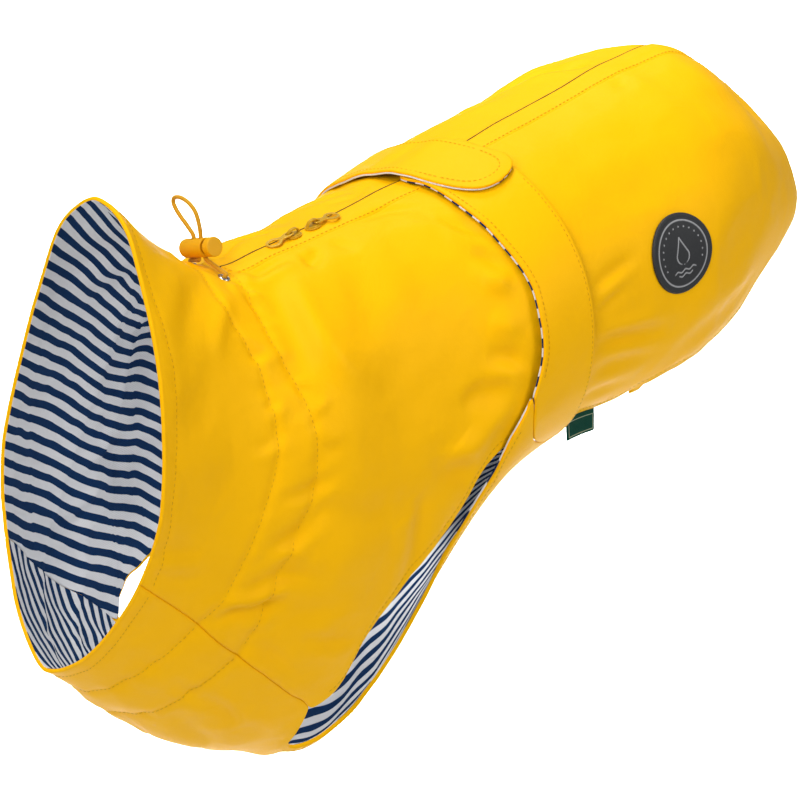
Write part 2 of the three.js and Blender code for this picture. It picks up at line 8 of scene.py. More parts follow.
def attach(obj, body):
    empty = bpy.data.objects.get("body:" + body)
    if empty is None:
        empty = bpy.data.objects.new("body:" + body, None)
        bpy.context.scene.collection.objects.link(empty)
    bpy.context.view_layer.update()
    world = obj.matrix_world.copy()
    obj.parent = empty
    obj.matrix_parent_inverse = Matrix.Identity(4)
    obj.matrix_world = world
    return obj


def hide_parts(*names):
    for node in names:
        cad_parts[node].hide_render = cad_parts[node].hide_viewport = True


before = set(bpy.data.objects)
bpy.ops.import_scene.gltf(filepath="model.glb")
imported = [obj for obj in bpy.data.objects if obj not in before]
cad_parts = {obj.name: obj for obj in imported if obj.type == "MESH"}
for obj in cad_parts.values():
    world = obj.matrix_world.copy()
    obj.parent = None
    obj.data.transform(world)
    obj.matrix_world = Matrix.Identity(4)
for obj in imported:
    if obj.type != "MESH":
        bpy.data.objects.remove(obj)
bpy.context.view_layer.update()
MM = 0.001

# ------------------------------------------------------------------ camera
AZ, EL, DIST, FOCAL = math.radians(46), math.radians(24), 1600.0, 3088.0
C_BACK = np.array([math.sin(AZ) * math.cos(EL), -math.cos(AZ) * math.cos(EL), math.sin(EL)])
C_RIGHT = np.array([math.cos(AZ), math.sin(AZ), 0.0])
C_UP = np.cross(C_BACK, C_RIGHT)
C_AT = (400 - 205) / (FOCAL / DIST) * C_RIGHT - (400 - 268) / (FOCAL / DIST) * C_UP
camera = bpy.data.objects.new("camera", bpy.data.cameras.new("camera"))
camera.data.sensor_width = 36
camera.data.lens = FOCAL * 36 / 800
camera.data.clip_start, camera.data.clip_end = 0.05, 30
camera.matrix_world = Matrix([[*row, p] for row, p in zip(np.stack([C_RIGHT, C_UP, C_BACK], 1).tolist(), ((C_AT + DIST * C_BACK) * MM).tolist())] + [[0, 0, 0, 1]])
bpy.context.scene.collection.objects.link(camera)
bpy.context.scene.camera = camera

# ------------------------------------------------------------------ the form, as the CAD has it
STATIONS = np.array([
    # yTop  zTop  yBot  zBot half wide roundT roundB far
    [-70, 56, -117, -192, 77, .56, 1.70, 1.55, .70],
    [-31, 19, -86, -222, 73, .52, 1.92, 1.83, .97],
    [4, -2, -51, -256, 77, .48, 2.12, 1.96, 1.00],
    [39, -1, -4, -282, 86, .44, 2.36, 2.15, 1.02],
    [80, 3, 37, -293, 86, .44, 2.24, 2.13, 1.00],
    [124, 8, 92, -233, 89, .45, 2.19, 2.11, 1.00],
    [154, 11, 137, -175, 95, .48, 2.26, 2.13, 1.00],
    [190, 21, 192, -154, 97, .49, 2.12, 2.13, 1.00],
    [264, 33, 245, -154, 97, .48, 2.07, 2.13, 1.00],
    [313, 41, 288, -154, 98, .45, 2.03, 2.13, 1.00],
    [364, 38, 339, -148, 84, .46, 1.85, 2.12, 1.00],
    [424, -16, 353, -128, 67, .46, 2.04, 2.13, 1.00],
    [452, -54, 341, -117, 52, .45, 2.20, 2.13, 1.00]], float)
END = len(STATIONS) - 1
SIDE_NEAR = [[0, .680], [.8, .676], [1.5, .686], [1.9, .696], [2.3, .715], [2.6, .737], [2.85, .756], [3.1, .770]]
SIDE_FAR = [[0, .740], [.8, .738], [1.5, .738], [1.9, .744], [2.2, .756]]
HEM = [[5.1, .600], [5.4, .582], [5.8, .602], [6.2, .630], [6.7, .685], [7.2, .735], [7.7, .752], [8.1, .728],
       [8.6, .712], [9.3, .705], [10, .675], [10.6, .635], [11.2, .59], [11.7, .54], [12, .47]]
CAPE_EDGE = {
    1: SIDE_NEAR + [[3.25, .780], [3.40, .765], [3.57, .735], [3.74, .655], [3.95, .622], [4.3, .606], [4.74, .612]] + HEM,
    -1: SIDE_FAR + [[2.45, .770], [2.58, .725], [2.75, .702], [2.97, .684], [3.25, .665], [3.6, .640], [4.1, .612], [4.74, .610]] + HEM}
BIB_REST = [[3.5, .882], [3.7, .872], [3.95, .848], [4.25, .802], [4.5, .757], [4.7, .715], [4.9, .678], [5.2, .655], [5.44, .636],
            [5.58, .621], [5.7, .586], [5.8, .566], [5.93, .541], [6, .524], [6.1, .582], [6.25, .636], [6.45, .675], [6.65, .704], [6.85, .728], [7, .745]]
BIB_EDGE = {
    1: SIDE_NEAR + [[3.22, .779], [3.34, .868]] + BIB_REST,
    -1: SIDE_FAR + [[2.42, .769], [2.62, .800], [2.9, .836], [3.2, .865], [3.5, .880]] + BIB_REST[1:]}
BIB_DROP = [[0, 0], [3.2, -.6], [3.6, .3], [3.9, 1.8], [4.2, 4.4], [4.45, 5.6], [4.7, 4.2], [4.95, 2.2], [5.2, 2.1], [5.5, 3.0], [5.7, 4.0], [5.9, 4.3], [12, 4.3]]
WING_FRONT = [[-1, 5.80], [-.06, 5.80], [0, 5.66], [.036, 5.745], [.085, 5.78], [.146, 5.832], [.194, 5.91], [.234, 5.96], [.276, 6.035], [.311, 6.095],
              [.349, 6.13], [.389, 6.125], [.416, 6.135], [.447, 6.13], [.468, 6.108], [.492, 6.066], [.510, 6.03], [.524, 6.0]]
WING_LIFT = [[-1, 0], [.25, 0], [.40, 1.6], [.50, 1.8], [.58, .6], [1, 0]]
BAND_FRONT, BAND_REAR = 6.0, 7.0
FLAP = np.array([[-.42, 6.08, 7.00], [-.34, 6.00, 6.97], [-.27, 5.90, 6.92], [-.20, 5.76, 6.86], [-.15, 5.66, 6.83], [-.10, 5.60, 6.82],
                 [-.055, 5.60, 6.84], [-.02, 5.62, 6.86], [.015, 5.70, 6.90], [.05, 5.79, 6.94], [.08, 5.90, 6.98], [.105, 6.02, 7.02],
                 [.124, 6.15, 7.00], [.138, 6.30, 6.93], [.146, 6.46, 6.83], [.149, 6.58, 6.72]])
SHELL, LINING = 1.2, 1.0
LIFT_PLACKET, LIFT_BAND_LINING, LIFT_BAND, FLAP_RISE, FLAP_SETTLE = 1.3, 2.8, 4.3, 3.0, 1.5


def pchip(rows, x, col=1):
    """Smooth monotone curve through the rows of a table."""
    t = np.asarray(rows, float)
    X, Y = t[:, 0], t[:, col]
    h, d = np.diff(X), np.diff(Y) / np.diff(X)
    m = np.zeros(len(X))
    w1, w2 = 2 * h[1:] + h[:-1], h[1:] + 2 * h[:-1]
    same = d[:-1] * d[1:] > 0
    with np.errstate(divide="ignore", invalid="ignore"):
        m[1:-1] = np.where(same, (w1 + w2) / (w1 / d[:-1] + w2 / d[1:]), 0)
    m[0], m[-1] = d[0], d[-1]
    x = np.clip(np.asarray(x, float), X[0], X[-1])
    i = np.clip(np.searchsorted(X, x, "right") - 1, 0, len(X) - 2)
    s = (x - X[i]) / h[i]
    return ((1 + 2 * s) * (1 - s) ** 2 * Y[i] + s * (1 - s) ** 2 * h[i] * m[i]
            + s * s * (3 - 2 * s) * Y[i + 1] + s * s * (s - 1) * h[i] * m[i + 1])


def smooth(x, a, b):
    t = np.clip((x - a) / (b - a), 0, 1)
    return t * t * (3 - 2 * t)


NU, NQ, FINE = 1201, 1201, 192
GU = np.linspace(0, END, NU)
GQ = np.linspace(-1, 1, NQ)


def build_form():
    i = np.minimum(GU.astype(int), END - 1)
    f = (GU - i)[:, None]
    s = STATIONS
    g = lambda k: s[np.clip(k, 0, END)]
    p1, p2 = g(i), g(i + 1)
    p0 = np.where((i > 0)[:, None], g(i - 1), 2 * p1 - p2)
    p3 = np.where((i + 2 <= END)[:, None], g(i + 2), 2 * p2 - p1)
    c = .5 * (2 * p1 + (p2 - p0) * f + (2 * p0 - 5 * p1 + 4 * p2 - p3) * f ** 2 + (3 * p1 - p0 - 3 * p2 + p3) * f ** 3)
    yT, zT, yB, zB, half, m, nT, nB, far = [c[:, k:k + 1] for k in range(9)]
    t = np.linspace(0, math.pi, FINE + 1)[None]
    n = np.where(t <= math.pi / 2, nT, nB)
    sn, cs = np.clip(np.sin(t), 0, 1) ** (2 / n), np.abs(np.cos(t)) ** (2 / n)
    a = np.where(t <= math.pi / 2, m * (1 - cs), m + (1 - m) * cs)
    y, z = yT + (yB - yT) * a, zT + (zB - zT) * a
    P, run = np.empty((NU, NQ, 3)), {}
    hq = (NQ - 1) // 2
    for side in (1, -1):
        x = half * (far if side < 0 else 1) * sn
        pts = np.stack([x, y, z], -1)
        r = np.concatenate([np.zeros((NU, 1)), np.cumsum(np.linalg.norm(np.diff(pts, axis=1), axis=2), 1)], 1)
        run[side] = r[:, -1]
        for k in range(NU):
            want = np.linspace(0, r[k, -1], hq + 1)
            for j in range(3):
                v = np.interp(want, r[k], pts[k, :, j])
                if side > 0:
                    P[k, hq:, j] = v
                else:
                    P[k, hq::-1, j] = -v if j == 0 else v
    du = 4
    A = P[np.minimum(np.arange(NU) + du, NU - 1)] - P[np.maximum(np.arange(NU) - du, 0)]
    Q, k = P[:, :-1], 7
    B = np.roll(Q, -k, 1) - np.roll(Q, k, 1)
    B = np.concatenate([B, B[:, :1]], 1)
    N = np.cross(B, A)
    N /= np.linalg.norm(N, axis=2, keepdims=True)
    along = np.concatenate([np.zeros((1, NQ)), np.cumsum(np.linalg.norm(np.diff(P, axis=0), axis=2), 0)])
    return P, N, along, run


P, N, ALONG, RUN = build_form()
GIRTH = np.where(GQ[None] >= 0, GQ[None] * RUN[1][:, None], GQ[None] * RUN[-1][:, None])
PER_U = np.gradient(ALONG, GU, axis=0)


def sample(T, u, q):
    """Value of a grid table at u and q; q goes round the belly line."""
    u, q = np.broadcast_arrays(np.asarray(u, float), np.asarray(q, float))
    x = np.clip(u, 0, END) / END * (NU - 1)
    y = np.mod(q + 1, 2) / 2 * (NQ - 1)
    i, j = np.minimum(x.astype(int), NU - 2), np.minimum(y.astype(int), NQ - 2)
    fx, fy = x - i, y - j
    if T.ndim == 3:
        fx, fy = fx[..., None], fy[..., None]
    return (T[i, j] * (1 - fx) + T[i + 1, j] * fx) * (1 - fy) + (T[i, j + 1] * (1 - fx) + T[i + 1, j + 1] * fx) * fy


def run_at(u, side=1):
    return np.interp(u, GU, RUN[side])


def girth_at(u, q):
    """Arc length from the back line, running on past the belly line."""
    u, q = np.broadcast_arrays(np.asarray(u, float), np.asarray(q, float))
    near, far = run_at(u), run_at(u, -1)
    a = np.abs(q)
    mine, other = np.where(q >= 0, near, far), np.where(q >= 0, far, near)
    return np.sign(q) * np.where(a <= 1, a * mine, mine + (a - 1) * other)


# ------------------------------------------------------------------ noise
def hashed(i, j, k, seed):
    with np.errstate(over="ignore"):
        h = (i.astype(np.uint64) * np.uint64(374761393) + j.astype(np.uint64) * np.uint64(668265263)
             + k.astype(np.uint64) * np.uint64(2654435761) + np.uint64(seed * 974711 + 13))
        h = (h ^ (h >> np.uint64(13))) * np.uint64(1274126177)
        h = h ^ (h >> np.uint64(16))
    return (h & np.uint64(0xffff)).astype(float) / 32767.5 - 1


def noise(p, size, seed=0):
    """Smooth value noise from -1 to 1 on points (..., 3)."""
    x = np.asarray(p, float) / size + 512
    i = np.floor(x).astype(np.int64)
    f = x - i
    f = f * f * f * (f * (f * 6 - 15) + 10)
    out = 0
    for a in (0, 1):
        for b in (0, 1):
            for c in (0, 1):
                w = (f[..., 0] if a else 1 - f[..., 0]) * (f[..., 1] if b else 1 - f[..., 1]) * (f[..., 2] if c else 1 - f[..., 2])
                out = out + w * hashed(i[..., 0] + a, i[..., 1] + b, i[..., 2] + c, seed)
    return out


def noise1(x, seed=0):
    x = np.asarray(x, float)
    return noise(np.stack([x, x * 0, x * 0], -1), 1.0, seed)


# ------------------------------------------------------------------ seams, channel lines
CHANNEL_FRONT = [[0, 1.62], [.06, 1.45], [.11, 1.41], [.138, 1.48], [.163, 1.58], [.198, 1.72], [.26, 1.84], [.333, 1.92], [.38, 1.89], [.42, 1.80],
                 [.47, 1.69], [.53, 1.56], [.61, 1.37], [.676, 1.16], [.73, 1.00], [.80, .84], [.90, .68], [1, .60]]
CHANNEL_REAR = [[0, 2.17], [.04, 2.14], [.077, 2.10], [.12, 2.08], [.16, 2.08], [.20, 2.17], [.26, 2.34], [.333, 2.48], [.38, 2.50], [.42, 2.45],
                [.46, 2.32], [.556, 2.10], [.69, 1.92], [.74, 1.74], [.80, 1.56], [.90, 1.38], [1, 1.28]]
RIM_LINE = [[0, .13], [.16, .13], [.24, .19], [.30, .25], [.41, .23], [.53, .18], [.62, .21], [.70, .19], [.80, .17], [1, .17]]
D = np.zeros((NU, NQ))
AQ = np.abs(GQ)[None]
UU = GU[:, None]
MM_U = np.maximum(PER_U, 12)                       # millimetres per unit of u


def line_pinch(T, at_u, depth, wide, pucker, reach, step, seed):
    """A stitched line running round the girth: pinched in, with short puckers across it."""
    d = (UU - at_u) * MM_U
    T -= depth * np.exp(-(d / wide) ** 2)
    g = GIRTH / step
    a = noise1(g, seed) * .7 + noise1(g * 2.3, seed + 1) * .3
    T += pucker * a * np.exp(-(d / reach) ** 2)


def hem_pinch(T, at_q, side, u0, u1, depth, wide, pucker, reach, step, seed, inset=0.0):
    """A stitched line running along the body at q = at_q(u), inset mm towards the back line."""
    runs = RUN[side][:, None]
    d = (AQ - at_q[:, None]) * runs + inset
    m = (smooth(UU, u0 - .1, u0 + .1) * (1 - smooth(UU, u1 - .1, u1 + .1))) * (np.sign(GQ)[None] == side)
    g = ALONG / step
    a = noise1(g, seed) * .7 + noise1(g * 2.1, seed + 1) * .3
    T += m * (pucker * a * np.exp(-(d / reach) ** 2) - depth * np.exp(-(d / wide) ** 2))


# ------------------------------------------------------------------ creases
STROKES = [
    # points (u, q), height mm (+ out, - in), half width mm, share of a soft ridge beside it (sign = side)
    ([(1.55, .060), (1.185, .094), (.934, .13), (.742, .17), (.608, .21), (.5, .26)], -1.1, 8.5, .5),
    ([(1.75, .075), (1.45, .125), (1.20, .17), (1.02, .23)], 1.3, 6.0, 0),
    ([(1.60, .02), (1.25, .03), (.95, .035), (.6, .05)], -1.2, 7.0, 0),
    ([(1.98, .050), (2.105, .062), (2.20, .074), (2.34, .084)], -1.5, 2.6, .6),
    ([(1.99, .058), (2.06, .088), (2.16, .118), (2.26, .135)], -1.1, 3.2, -.5),
    ([(2.12, .034), (2.30, .047), (2.46, .052)], 1.2, 2.6, 0),
    ([(2.30, .052), (2.45, .050), (2.70, .046), (2.95, .0445), (3.15, .045)], -1.8, 3.6, .5),
    ([(3.33, .044), (3.31, .059), (3.262, .079)], -1.5, 3.6, 0),
    ([(3.60, .050), (3.43, .063), (3.262, .079)], -1.6, 3.6, .3),
    ([(3.80, .045), (3.90, .062), (4.02, .085)], -.9, 4.5, 0),
    ([(2.62, .060), (2.50, .082), (2.45, .105), (2.44, .134), (2.46, .174), (2.42, .213), (2.32, .26)], -2.6, 9.0, 0),
    ([(2.93, .075), (2.877, .091), (2.80, .121), (2.75, .164), (2.83, .203), (3.06, .239), (3.40, .262)], 1.7, 7.5, 0),
    ([(3.85, .080), (3.77, .115), (3.68, .150), (3.50, .195), (3.42, .23)], -1.6, 12, 0),
    ([(4.25, .06), (4.20, .093), (4.19, .137), (4.18, .181), (4.25, .23)], 1.2, 12, 0),
    ([(4.40, .034), (4.60, .038), (4.80, .043), (5.08, .060), (5.3, .075)], -1.3, 4.0, .5),
    ([(4.5, .055), (4.9, .07), (5.35, .10), (5.7, .12)], -1.0, 6.0, .3),
    ([(2.22, .243), (2.285, .248), (2.393, .255), (2.53, .263)], -.9, 2.6, .6),
    ([(2.305, .286), (2.441, .283), (2.579, .280), (2.72, .272)], 1.0, 2.6, -.4),
    ([(1.62, .205), (1.70, .200), (1.793, .196), (1.957, .188)], -.8, 2.6, .6),
    ([(1.70, .282), (1.80, .277), (1.91, .269), (2.025, .260)], -.9, 2.8, .6),
    ([(1.55, .345), (1.72, .34), (1.90, .325)], -.7, 3.2, .5),
    ([(2.50, .335), (2.66, .345), (2.86, .35)], -.7, 3.4, -.5),
    # chest, above and below the side seam
    ([(1.05, .640), (1.263, .623), (1.466, .608), (1.793, .598), (2.083, .575), (2.3, .56)], 1.5, 4.2, 0),
    ([(1.25, .662), (1.452, .642), (1.62, .622), (1.80, .609), (2.08, .592), (2.35, .585)], -1.9, 4.0, -.5),
    ([(1.60, .583), (1.785, .570), (1.939, .553), (2.12, .540), (2.356, .538), (2.6, .545)], -1.2, 4.2, .5),
    ([(1.60, .520), (1.777, .512), (1.967, .502), (2.251, .501), (2.45, .508), (2.75, .53)], 1.3, 5.0, 0),
    ([(1.70, .520), (1.892, .503), (2.073, .487), (2.287, .470), (2.478, .452), (2.7, .43)], -1.6, 4.6, .4),
    ([(1.95, .420), (2.096, .412), (2.238, .407), (2.505, .398), (2.8, .385)], -1.2, 4.2, .4),
    ([(2.30, .415), (2.50, .425), (2.879, .445), (3.446, .454), (3.9, .45)], -1.5, 9.0, .3),
    ([(2.5, .50), (2.9, .515), (3.4, .520), (3.85, .51)], 1.3, 12, 0),
    ([(2.60, .640), (2.768, .645), (3.058, .651), (3.414, .654), (3.6, .655)], -1.3, 4.6, .4),
    ([(2.35, .60), (2.7, .60), (3.2, .598)], -1.0, 7.0, .3),
    ([(2.0, .665), (2.35, .68), (2.7, .71)], -1.2, 5.0, .4),
    ([(.0, .612), (.255, .592), (.575, .575), (.85, .565)], -.9, 5.0, .4),
    ([(.10, .650), (.35, .636), (.65, .620), (.95, .60)], -.9, 5.0, -.4),
    ([(.35, .47), (.60, .43), (.90, .40), (1.2, .38)], 1.4, 16, 0),
    ([(.30, .33), (.55, .33), (.9, .34)], -.9, 14, 0),
    # the hem rolls in towards the band
    ([(4.15, .46), (4.281, .488), (4.295, .521), (4.296, .558), (4.22, .60)], -1.8, 7.0, .4),
    ([(4.45, .43), (4.504, .45), (4.758, .498), (4.972, .539), (5.148, .568)], -2.4, 7.5, -.4),
    ([(4.45, .455), (4.684, .468), (4.962, .486), (5.35, .497), (5.75, .515)], 2.4, 8.0, 0),
    ([(4.75, .395), (5.05, .41), (5.4, .44), (5.75, .47)], -2.0, 7.0, .4),
    # in front of the band
    ([(5.25, .115), (5.498, .137), (5.728, .175), (5.93, .215)], -1.6, 5.5, .5),
    ([(5.40, .20), (5.60, .225), (5.80, .255), (5.98, .275), (6.146, .311)], -2.0, 5.5, .5),
    ([(5.35, .25), (5.65, .28), (5.95, .32)], 1.6, 6.0, 0),
    ([(5.20, .36), (5.422, .385), (5.776, .430), (6.0, .462), (6.161, .49)], -2.3, 6.0, .5),
    ([(5.30, .315), (5.6, .35), (5.95, .395)], 1.7, 7.0, 0),
    # behind the band
    ([(7.10, .412), (7.173, .408), (7.371, .400), (7.60, .392)], -1.3, 4.0, .5),
    ([(7.09, .462), (7.20, .456), (7.32, .450), (7.46, .438)], -1.1, 3.4, -.4),
    ([(7.09, .490), (7.25, .502), (7.45, .510), (7.82, .522), (8.1, .54)], 1.2, 5.0, 0),
    ([(7.09, .530), (7.25, .530), (7.45, .538), (7.80, .557), (8.1, .575)], -1.8, 5.0, .4),
    ([(7.08, .60), (7.271, .593), (7.605, .600), (7.95, .62)], -1.4, 6.0, .4),
    ([(7.09, .655), (7.35, .655), (7.7, .67)], -1.0, 5.5, .4),
    ([(7.2, .30), (7.7, .275), (8.2, .27), (8.8, .29)], -1.3, 14, .3),
    ([(7.4, .17), (7.9, .165), (8.4, .18)], -1.0, 13, 0),
    # rump and tail
    ([(8.7, .50), (9.1, .47), (9.5, .45), (9.9, .46)], -1.4, 15, .3),
    ([(8.3, .64), (8.9, .61), (9.5, .60), (10.1, .58)], -1.3, 10, .3),
    ([(9.2, .20), (9.6, .24), (10.0, .30), (10.5, .36)], 1.5, 14, 0),
    ([(9.9, .08), (10.2, .14), (10.6, .20)], -1.3, 10, .3),
    ([(8.519, .075), (8.674, .062), (8.80, .044)], -1.0, 5.0, .4),
    ([(10.9, .15), (11.2, .22), (11.5, .30)], -1.0, 9.0, .3),
]
FAR_STROKES = [
    ([(7.9, -.18), (8.22, -.16), (8.5, -.13), (8.74, -.07), (8.80, -.035)], -2.2, 6.5, .5),
    ([(8.0, -.24), (8.5, -.21), (9.0, -.16), (9.3, -.10)], 1.6, 9.0, 0),
    ([(7.4, -.19), (7.6, -.166), (7.9, -.12)], -1.4, 6.0, .4),
    ([(4.3, -.12), (4.69, -.088), (5.1, -.06)], -1.2, 6.0, .4),
    ([(3.9, -.10), (4.3, -.16), (4.6, -.24)], -1.4, 10, .3),
]
BELLY_STROKES = [                        # chest panel and bib, across the belly line
    ([(1.15, .80), (1.45, .802), (1.75, .806), (2.10, .812)], -1.2, 4.5, .4),
    ([(1.80, .790), (2.10, .806), (2.30, .826), (2.42, .85)], -1.6, 4.0, -.5),
    ([(1.55, .86), (1.95, .88), (2.35, .90), (2.7, .93)], -1.5, 6.5, .4),
    ([(2.30, .80), (2.65, .815), (3.0, .84)], 1.2, 6.0, 0),
    ([(.35, .80), (.60, .84), (.85, .90)], -.8, 7.0, .4),
    ([(1.0, .94), (1.4, .97), (1.9, 1.0), (2.4, 1.03)], -1.6, 8.0, .4),
    ([(2.6, .96), (3.0, 1.0), (3.4, 1.03)], 1.6, 9.0, 0),
    ([(3.3, .90), (3.7, .93), (4.2, .95)], -1.5, 7.0, .4),
    ([(4.0, .86), (4.5, .88), (5.0, .91), (5.5, .95)], -1.3, 7.0, -.4),
    ([(5.2, .82), (5.7, .87), (6.1, .93)], 1.2, 8.0, 0),
    ([(6.2, .80), (6.5, .86), (6.9, .90)], -.8, 6.0, .3),
    ([(1.0, 1.20), (1.5, 1.16), (2.0, 1.12)], -1.4, 6.0, .4),
    ([(.3, 1.18), (.7, 1.14), (1.1, 1.10)], 1.1, 8.0, 0),
]


def spline(points, per=8):
    """Catmull-Rom through points of any dimension."""
    p = np.asarray(points, float)
    p = np.vstack([2 * p[0] - p[1], p, 2 * p[-1] - p[-2]])
    out = []
    for k in range(1, len(p) - 2):
        t = np.linspace(0, 1, per, endpoint=False)[:, None]
        a, b, c, d = p[k - 1], p[k], p[k + 1], p[k + 2]
        out.append(.5 * (2 * b + (c - a) * t + (2 * a - 5 * b + 4 * c - d) * t ** 2 + (3 * b - a - 3 * c + d) * t ** 3))
    out.append(p[-2][None])
    return np.concatenate(out)


def stroke(T, points, height, wide, ridge=0.0):
    """One soft trough or ridge along a line on the form, tapered at its ends."""
    uq = spline(points, 6)
    line = sample(P, uq[:, 0], uq[:, 1])
    reach = wide * 3.2
    u0, u1 = uq[:, 0].min() - reach / 25, uq[:, 0].max() + reach / 25
    q0, q1 = uq[:, 1].min() - reach / 230, uq[:, 1].max() + reach / 230
    iu = np.arange(max(int(u0 / END * (NU - 1)), 0), min(int(u1 / END * (NU - 1)) + 2, NU))
    period = NQ - 1
    jq = np.arange(int(math.floor((q0 + 1) / 2 * period)), int(math.ceil((q1 + 1) / 2 * period)) + 1)
    jm = np.mod(jq, period)
    X, NN = P[np.ix_(iu, jm)], N[np.ix_(iu, jm)]
    best = np.full(X.shape[:2], 1e9)
    side, part = np.zeros_like(best), np.zeros_like(best)
    seg = np.diff(line, axis=0)
    size = np.linalg.norm(seg, axis=1)
    run = np.concatenate([[0], np.cumsum(size)])
    for k in range(len(seg)):
        rel = X - line[k]
        t = np.clip((rel @ seg[k]) / size[k] ** 2, 0, 1)
        off = rel - t[..., None] * seg[k]
        d = np.einsum("ijk,ijk->ij", off, off)
        hit = d < best
        best = np.where(hit, d, best)
        s = np.sign(np.einsum("ijk,ijk->ij", np.cross(np.broadcast_to(seg[k], NN.shape), NN), off))
        side = np.where(hit, s, side)
        part = np.where(hit, (run[k] + t * size[k]) / run[-1], part)
    d = np.sqrt(best) * side
    soft = np.sin(np.pi * np.clip(part, .02, .98)) ** .75
    w = wide * (.75 + .25 * soft)
    f = np.exp(-(d / w) ** 2)
    if ridge:
        f = f - abs(ridge) * np.exp(-((d - math.copysign(1.75 * wide, ridge)) / (1.15 * wide)) ** 2)
    T[np.ix_(iu, jm)] += height * soft * f


def build_creases():
    T = D
    T += noise(P, 74, 3) * 1.5 + noise(P, 34, 5) * .62 + noise(P, 15, 8) * .14
    # fine crumples of the coated cloth: soft folds meeting along crooked lines
    fold = .55 - np.abs(noise(P, 46, 17) + .35 * noise(P, 19, 19)) * 1.7
    T += .80 * fold * (.35 + .65 * smooth(noise(P, 95, 23), -.35, .45))
    T += .22 * (.5 - np.abs(noise(P, 21, 29)) * 2.0)
    deep = lambda s: s[1] * (1.5 if s[2] < 8 else 1.4 if s[2] < 11 else 1.25)
    for s in STROKES:
        stroke(T, s[0], deep(s), s[2], s[3])
        pts = [(u + .05 * math.sin(3.1 * u), -(q * 1.03 + .012 * math.sin(4.7 * u))) for u, q in s[0]]
        stroke(T, pts, deep(s) * .9, s[2], -s[3])
    for s in FAR_STROKES:
        stroke(T, s[0], deep(s), s[2], s[3])
    for s in BELLY_STROKES:
        stroke(T, s[0], s[1] * 1.1, s[2], s[3])
        if max(q for _, q in s[0]) < .95:
            stroke(T, [(u - .07, 2 - (q + .008 * math.sin(9 * u))) for u, q in s[0]], s[1] * .95, s[2], -s[3])
    # drawcord channel: a soft tube between two stitched lines
    front, rear = pchip(CHANNEL_FRONT, AQ[0])[None], pchip(CHANNEL_REAR, AQ[0])[None]
    t = np.clip((UU - front) / (rear - front), 0, 1)
    T += 1.5 * np.sin(math.pi * t) ** .8 * (.8 + .35 * noise1(GIRTH / 21, 31))
    line_pinch(T, front, .75, 2.2, .95, 7.5, 7.5, 41)
    line_pinch(T, rear, .85, 2.2, 1.05, 8.0, 7.0, 43)
    line_pinch(T, pchip(RIM_LINE, AQ[0])[None], .35, 2.2, .38, 7.0, 9.0, 45)
    for side in (1, -1):
        e = pchip(CAPE_EDGE[side], GU)
        hem_pinch(T, e, side, 3.3 if side > 0 else 2.5, 12, .25, 2.2, .45, 9.0, 11.0, 51 + side, 7.0)
        hem_pinch(T, e, side, 0, 3.2 if side > 0 else 2.4, .3, 2.5, .50, 6.0, 9.0, 61 + side)
        b = pchip(BIB_EDGE[side], GU)
        d = (AQ - b[:, None]) * RUN[side][:, None]
        hem_pinch(T, b, side, 3.5, 5.5, .2, 2.2, .35, 8.0, 10.0, 71 + side, -7.0)
    # puckers round the eyelets
    for side in (1, -1):
        q = 13.3 / run_at(1.93, side) * side
        c = sample(P, 1.93, q)
        rel = P - c
        r = np.linalg.norm(rel, axis=2)
        f = sample(P, 1.98, q) - sample(P, 1.88, q)
        f /= np.linalg.norm(f)
        w = np.cross(f, sample(N, 1.93, q))
        ang = np.arctan2(rel @ f, rel @ w)
        rays = np.cos(5 * ang + .7 * side + .5 * np.sin(2 * ang)) * .7 + np.cos(9 * ang + 1.3) * .3
        T += 1.15 * rays * smooth(r, 3.5, 9) * np.exp(-r / 13)
        T *= 1 - np.exp(-(r / 6.0) ** 2) * .97
    # calm where things lie on it: zip, band, badge, under the flap
    zone = smooth(UU, 5.65, 6.0) * (1 - smooth(UU, 6.95, 7.2))
    T *= 1 - .72 * zone * (1 - smooth(AQ, .80, .9))
    T *= 1 - .82 * np.exp(-(GIRTH / 8.5) ** 2) * smooth(UU, 2.0, 2.3)
    far = np.linalg.norm(P - sample(P, 8.16, .426), axis=2)
    T *= 1 - .9 * (1 - smooth(far, 22, 34))
    T *= 1 - .55 * (1 - smooth(UU, 0, .12))
    for u, q, height, wide in ((0, .075, 4.0, 24), (0, -.11, 3.6, 20), (.9, -.02, 1.8, 20), (9.8, .40, 2.6, 60), (8.7, .62, 2.0, 42), (0, -.72, .4, 60), (11.2, .15, 3.0, 45),
                               (0, -.36, -2.0, 45), (.8, 1.0, 1.4, 60), (2.2, 1.0, 1.4, 60), (6.3, -.20, -2.5, 45)):
        d = P - sample(P, u, q)
        T += height * np.exp(-np.einsum("ijk,ijk->ij", d, d) / wide ** 2)
    np.clip(T, -5.5, 5.0, out=T)


build_creases()
print("creases", round(float(D.min()), 2), round(float(D.max()), 2))


def surface(u, q, lift, crease=1.0):
    n = sample(N, u, q)
    return sample(P, u, q) + n * (np.asarray(lift, float) + crease * sample(D, u, q))[..., None]


# ------------------------------------------------------------------ materials
def srgb(*c):
    if len(c) == 1:
        h = c[0].lstrip("#")
        c = [int(h[k:k + 2], 16) / 255 for k in (0, 2, 4)]
    return tuple(x / 12.92 if x <= .04045 else ((x + .055) / 1.055) ** 2.4 for x in c)


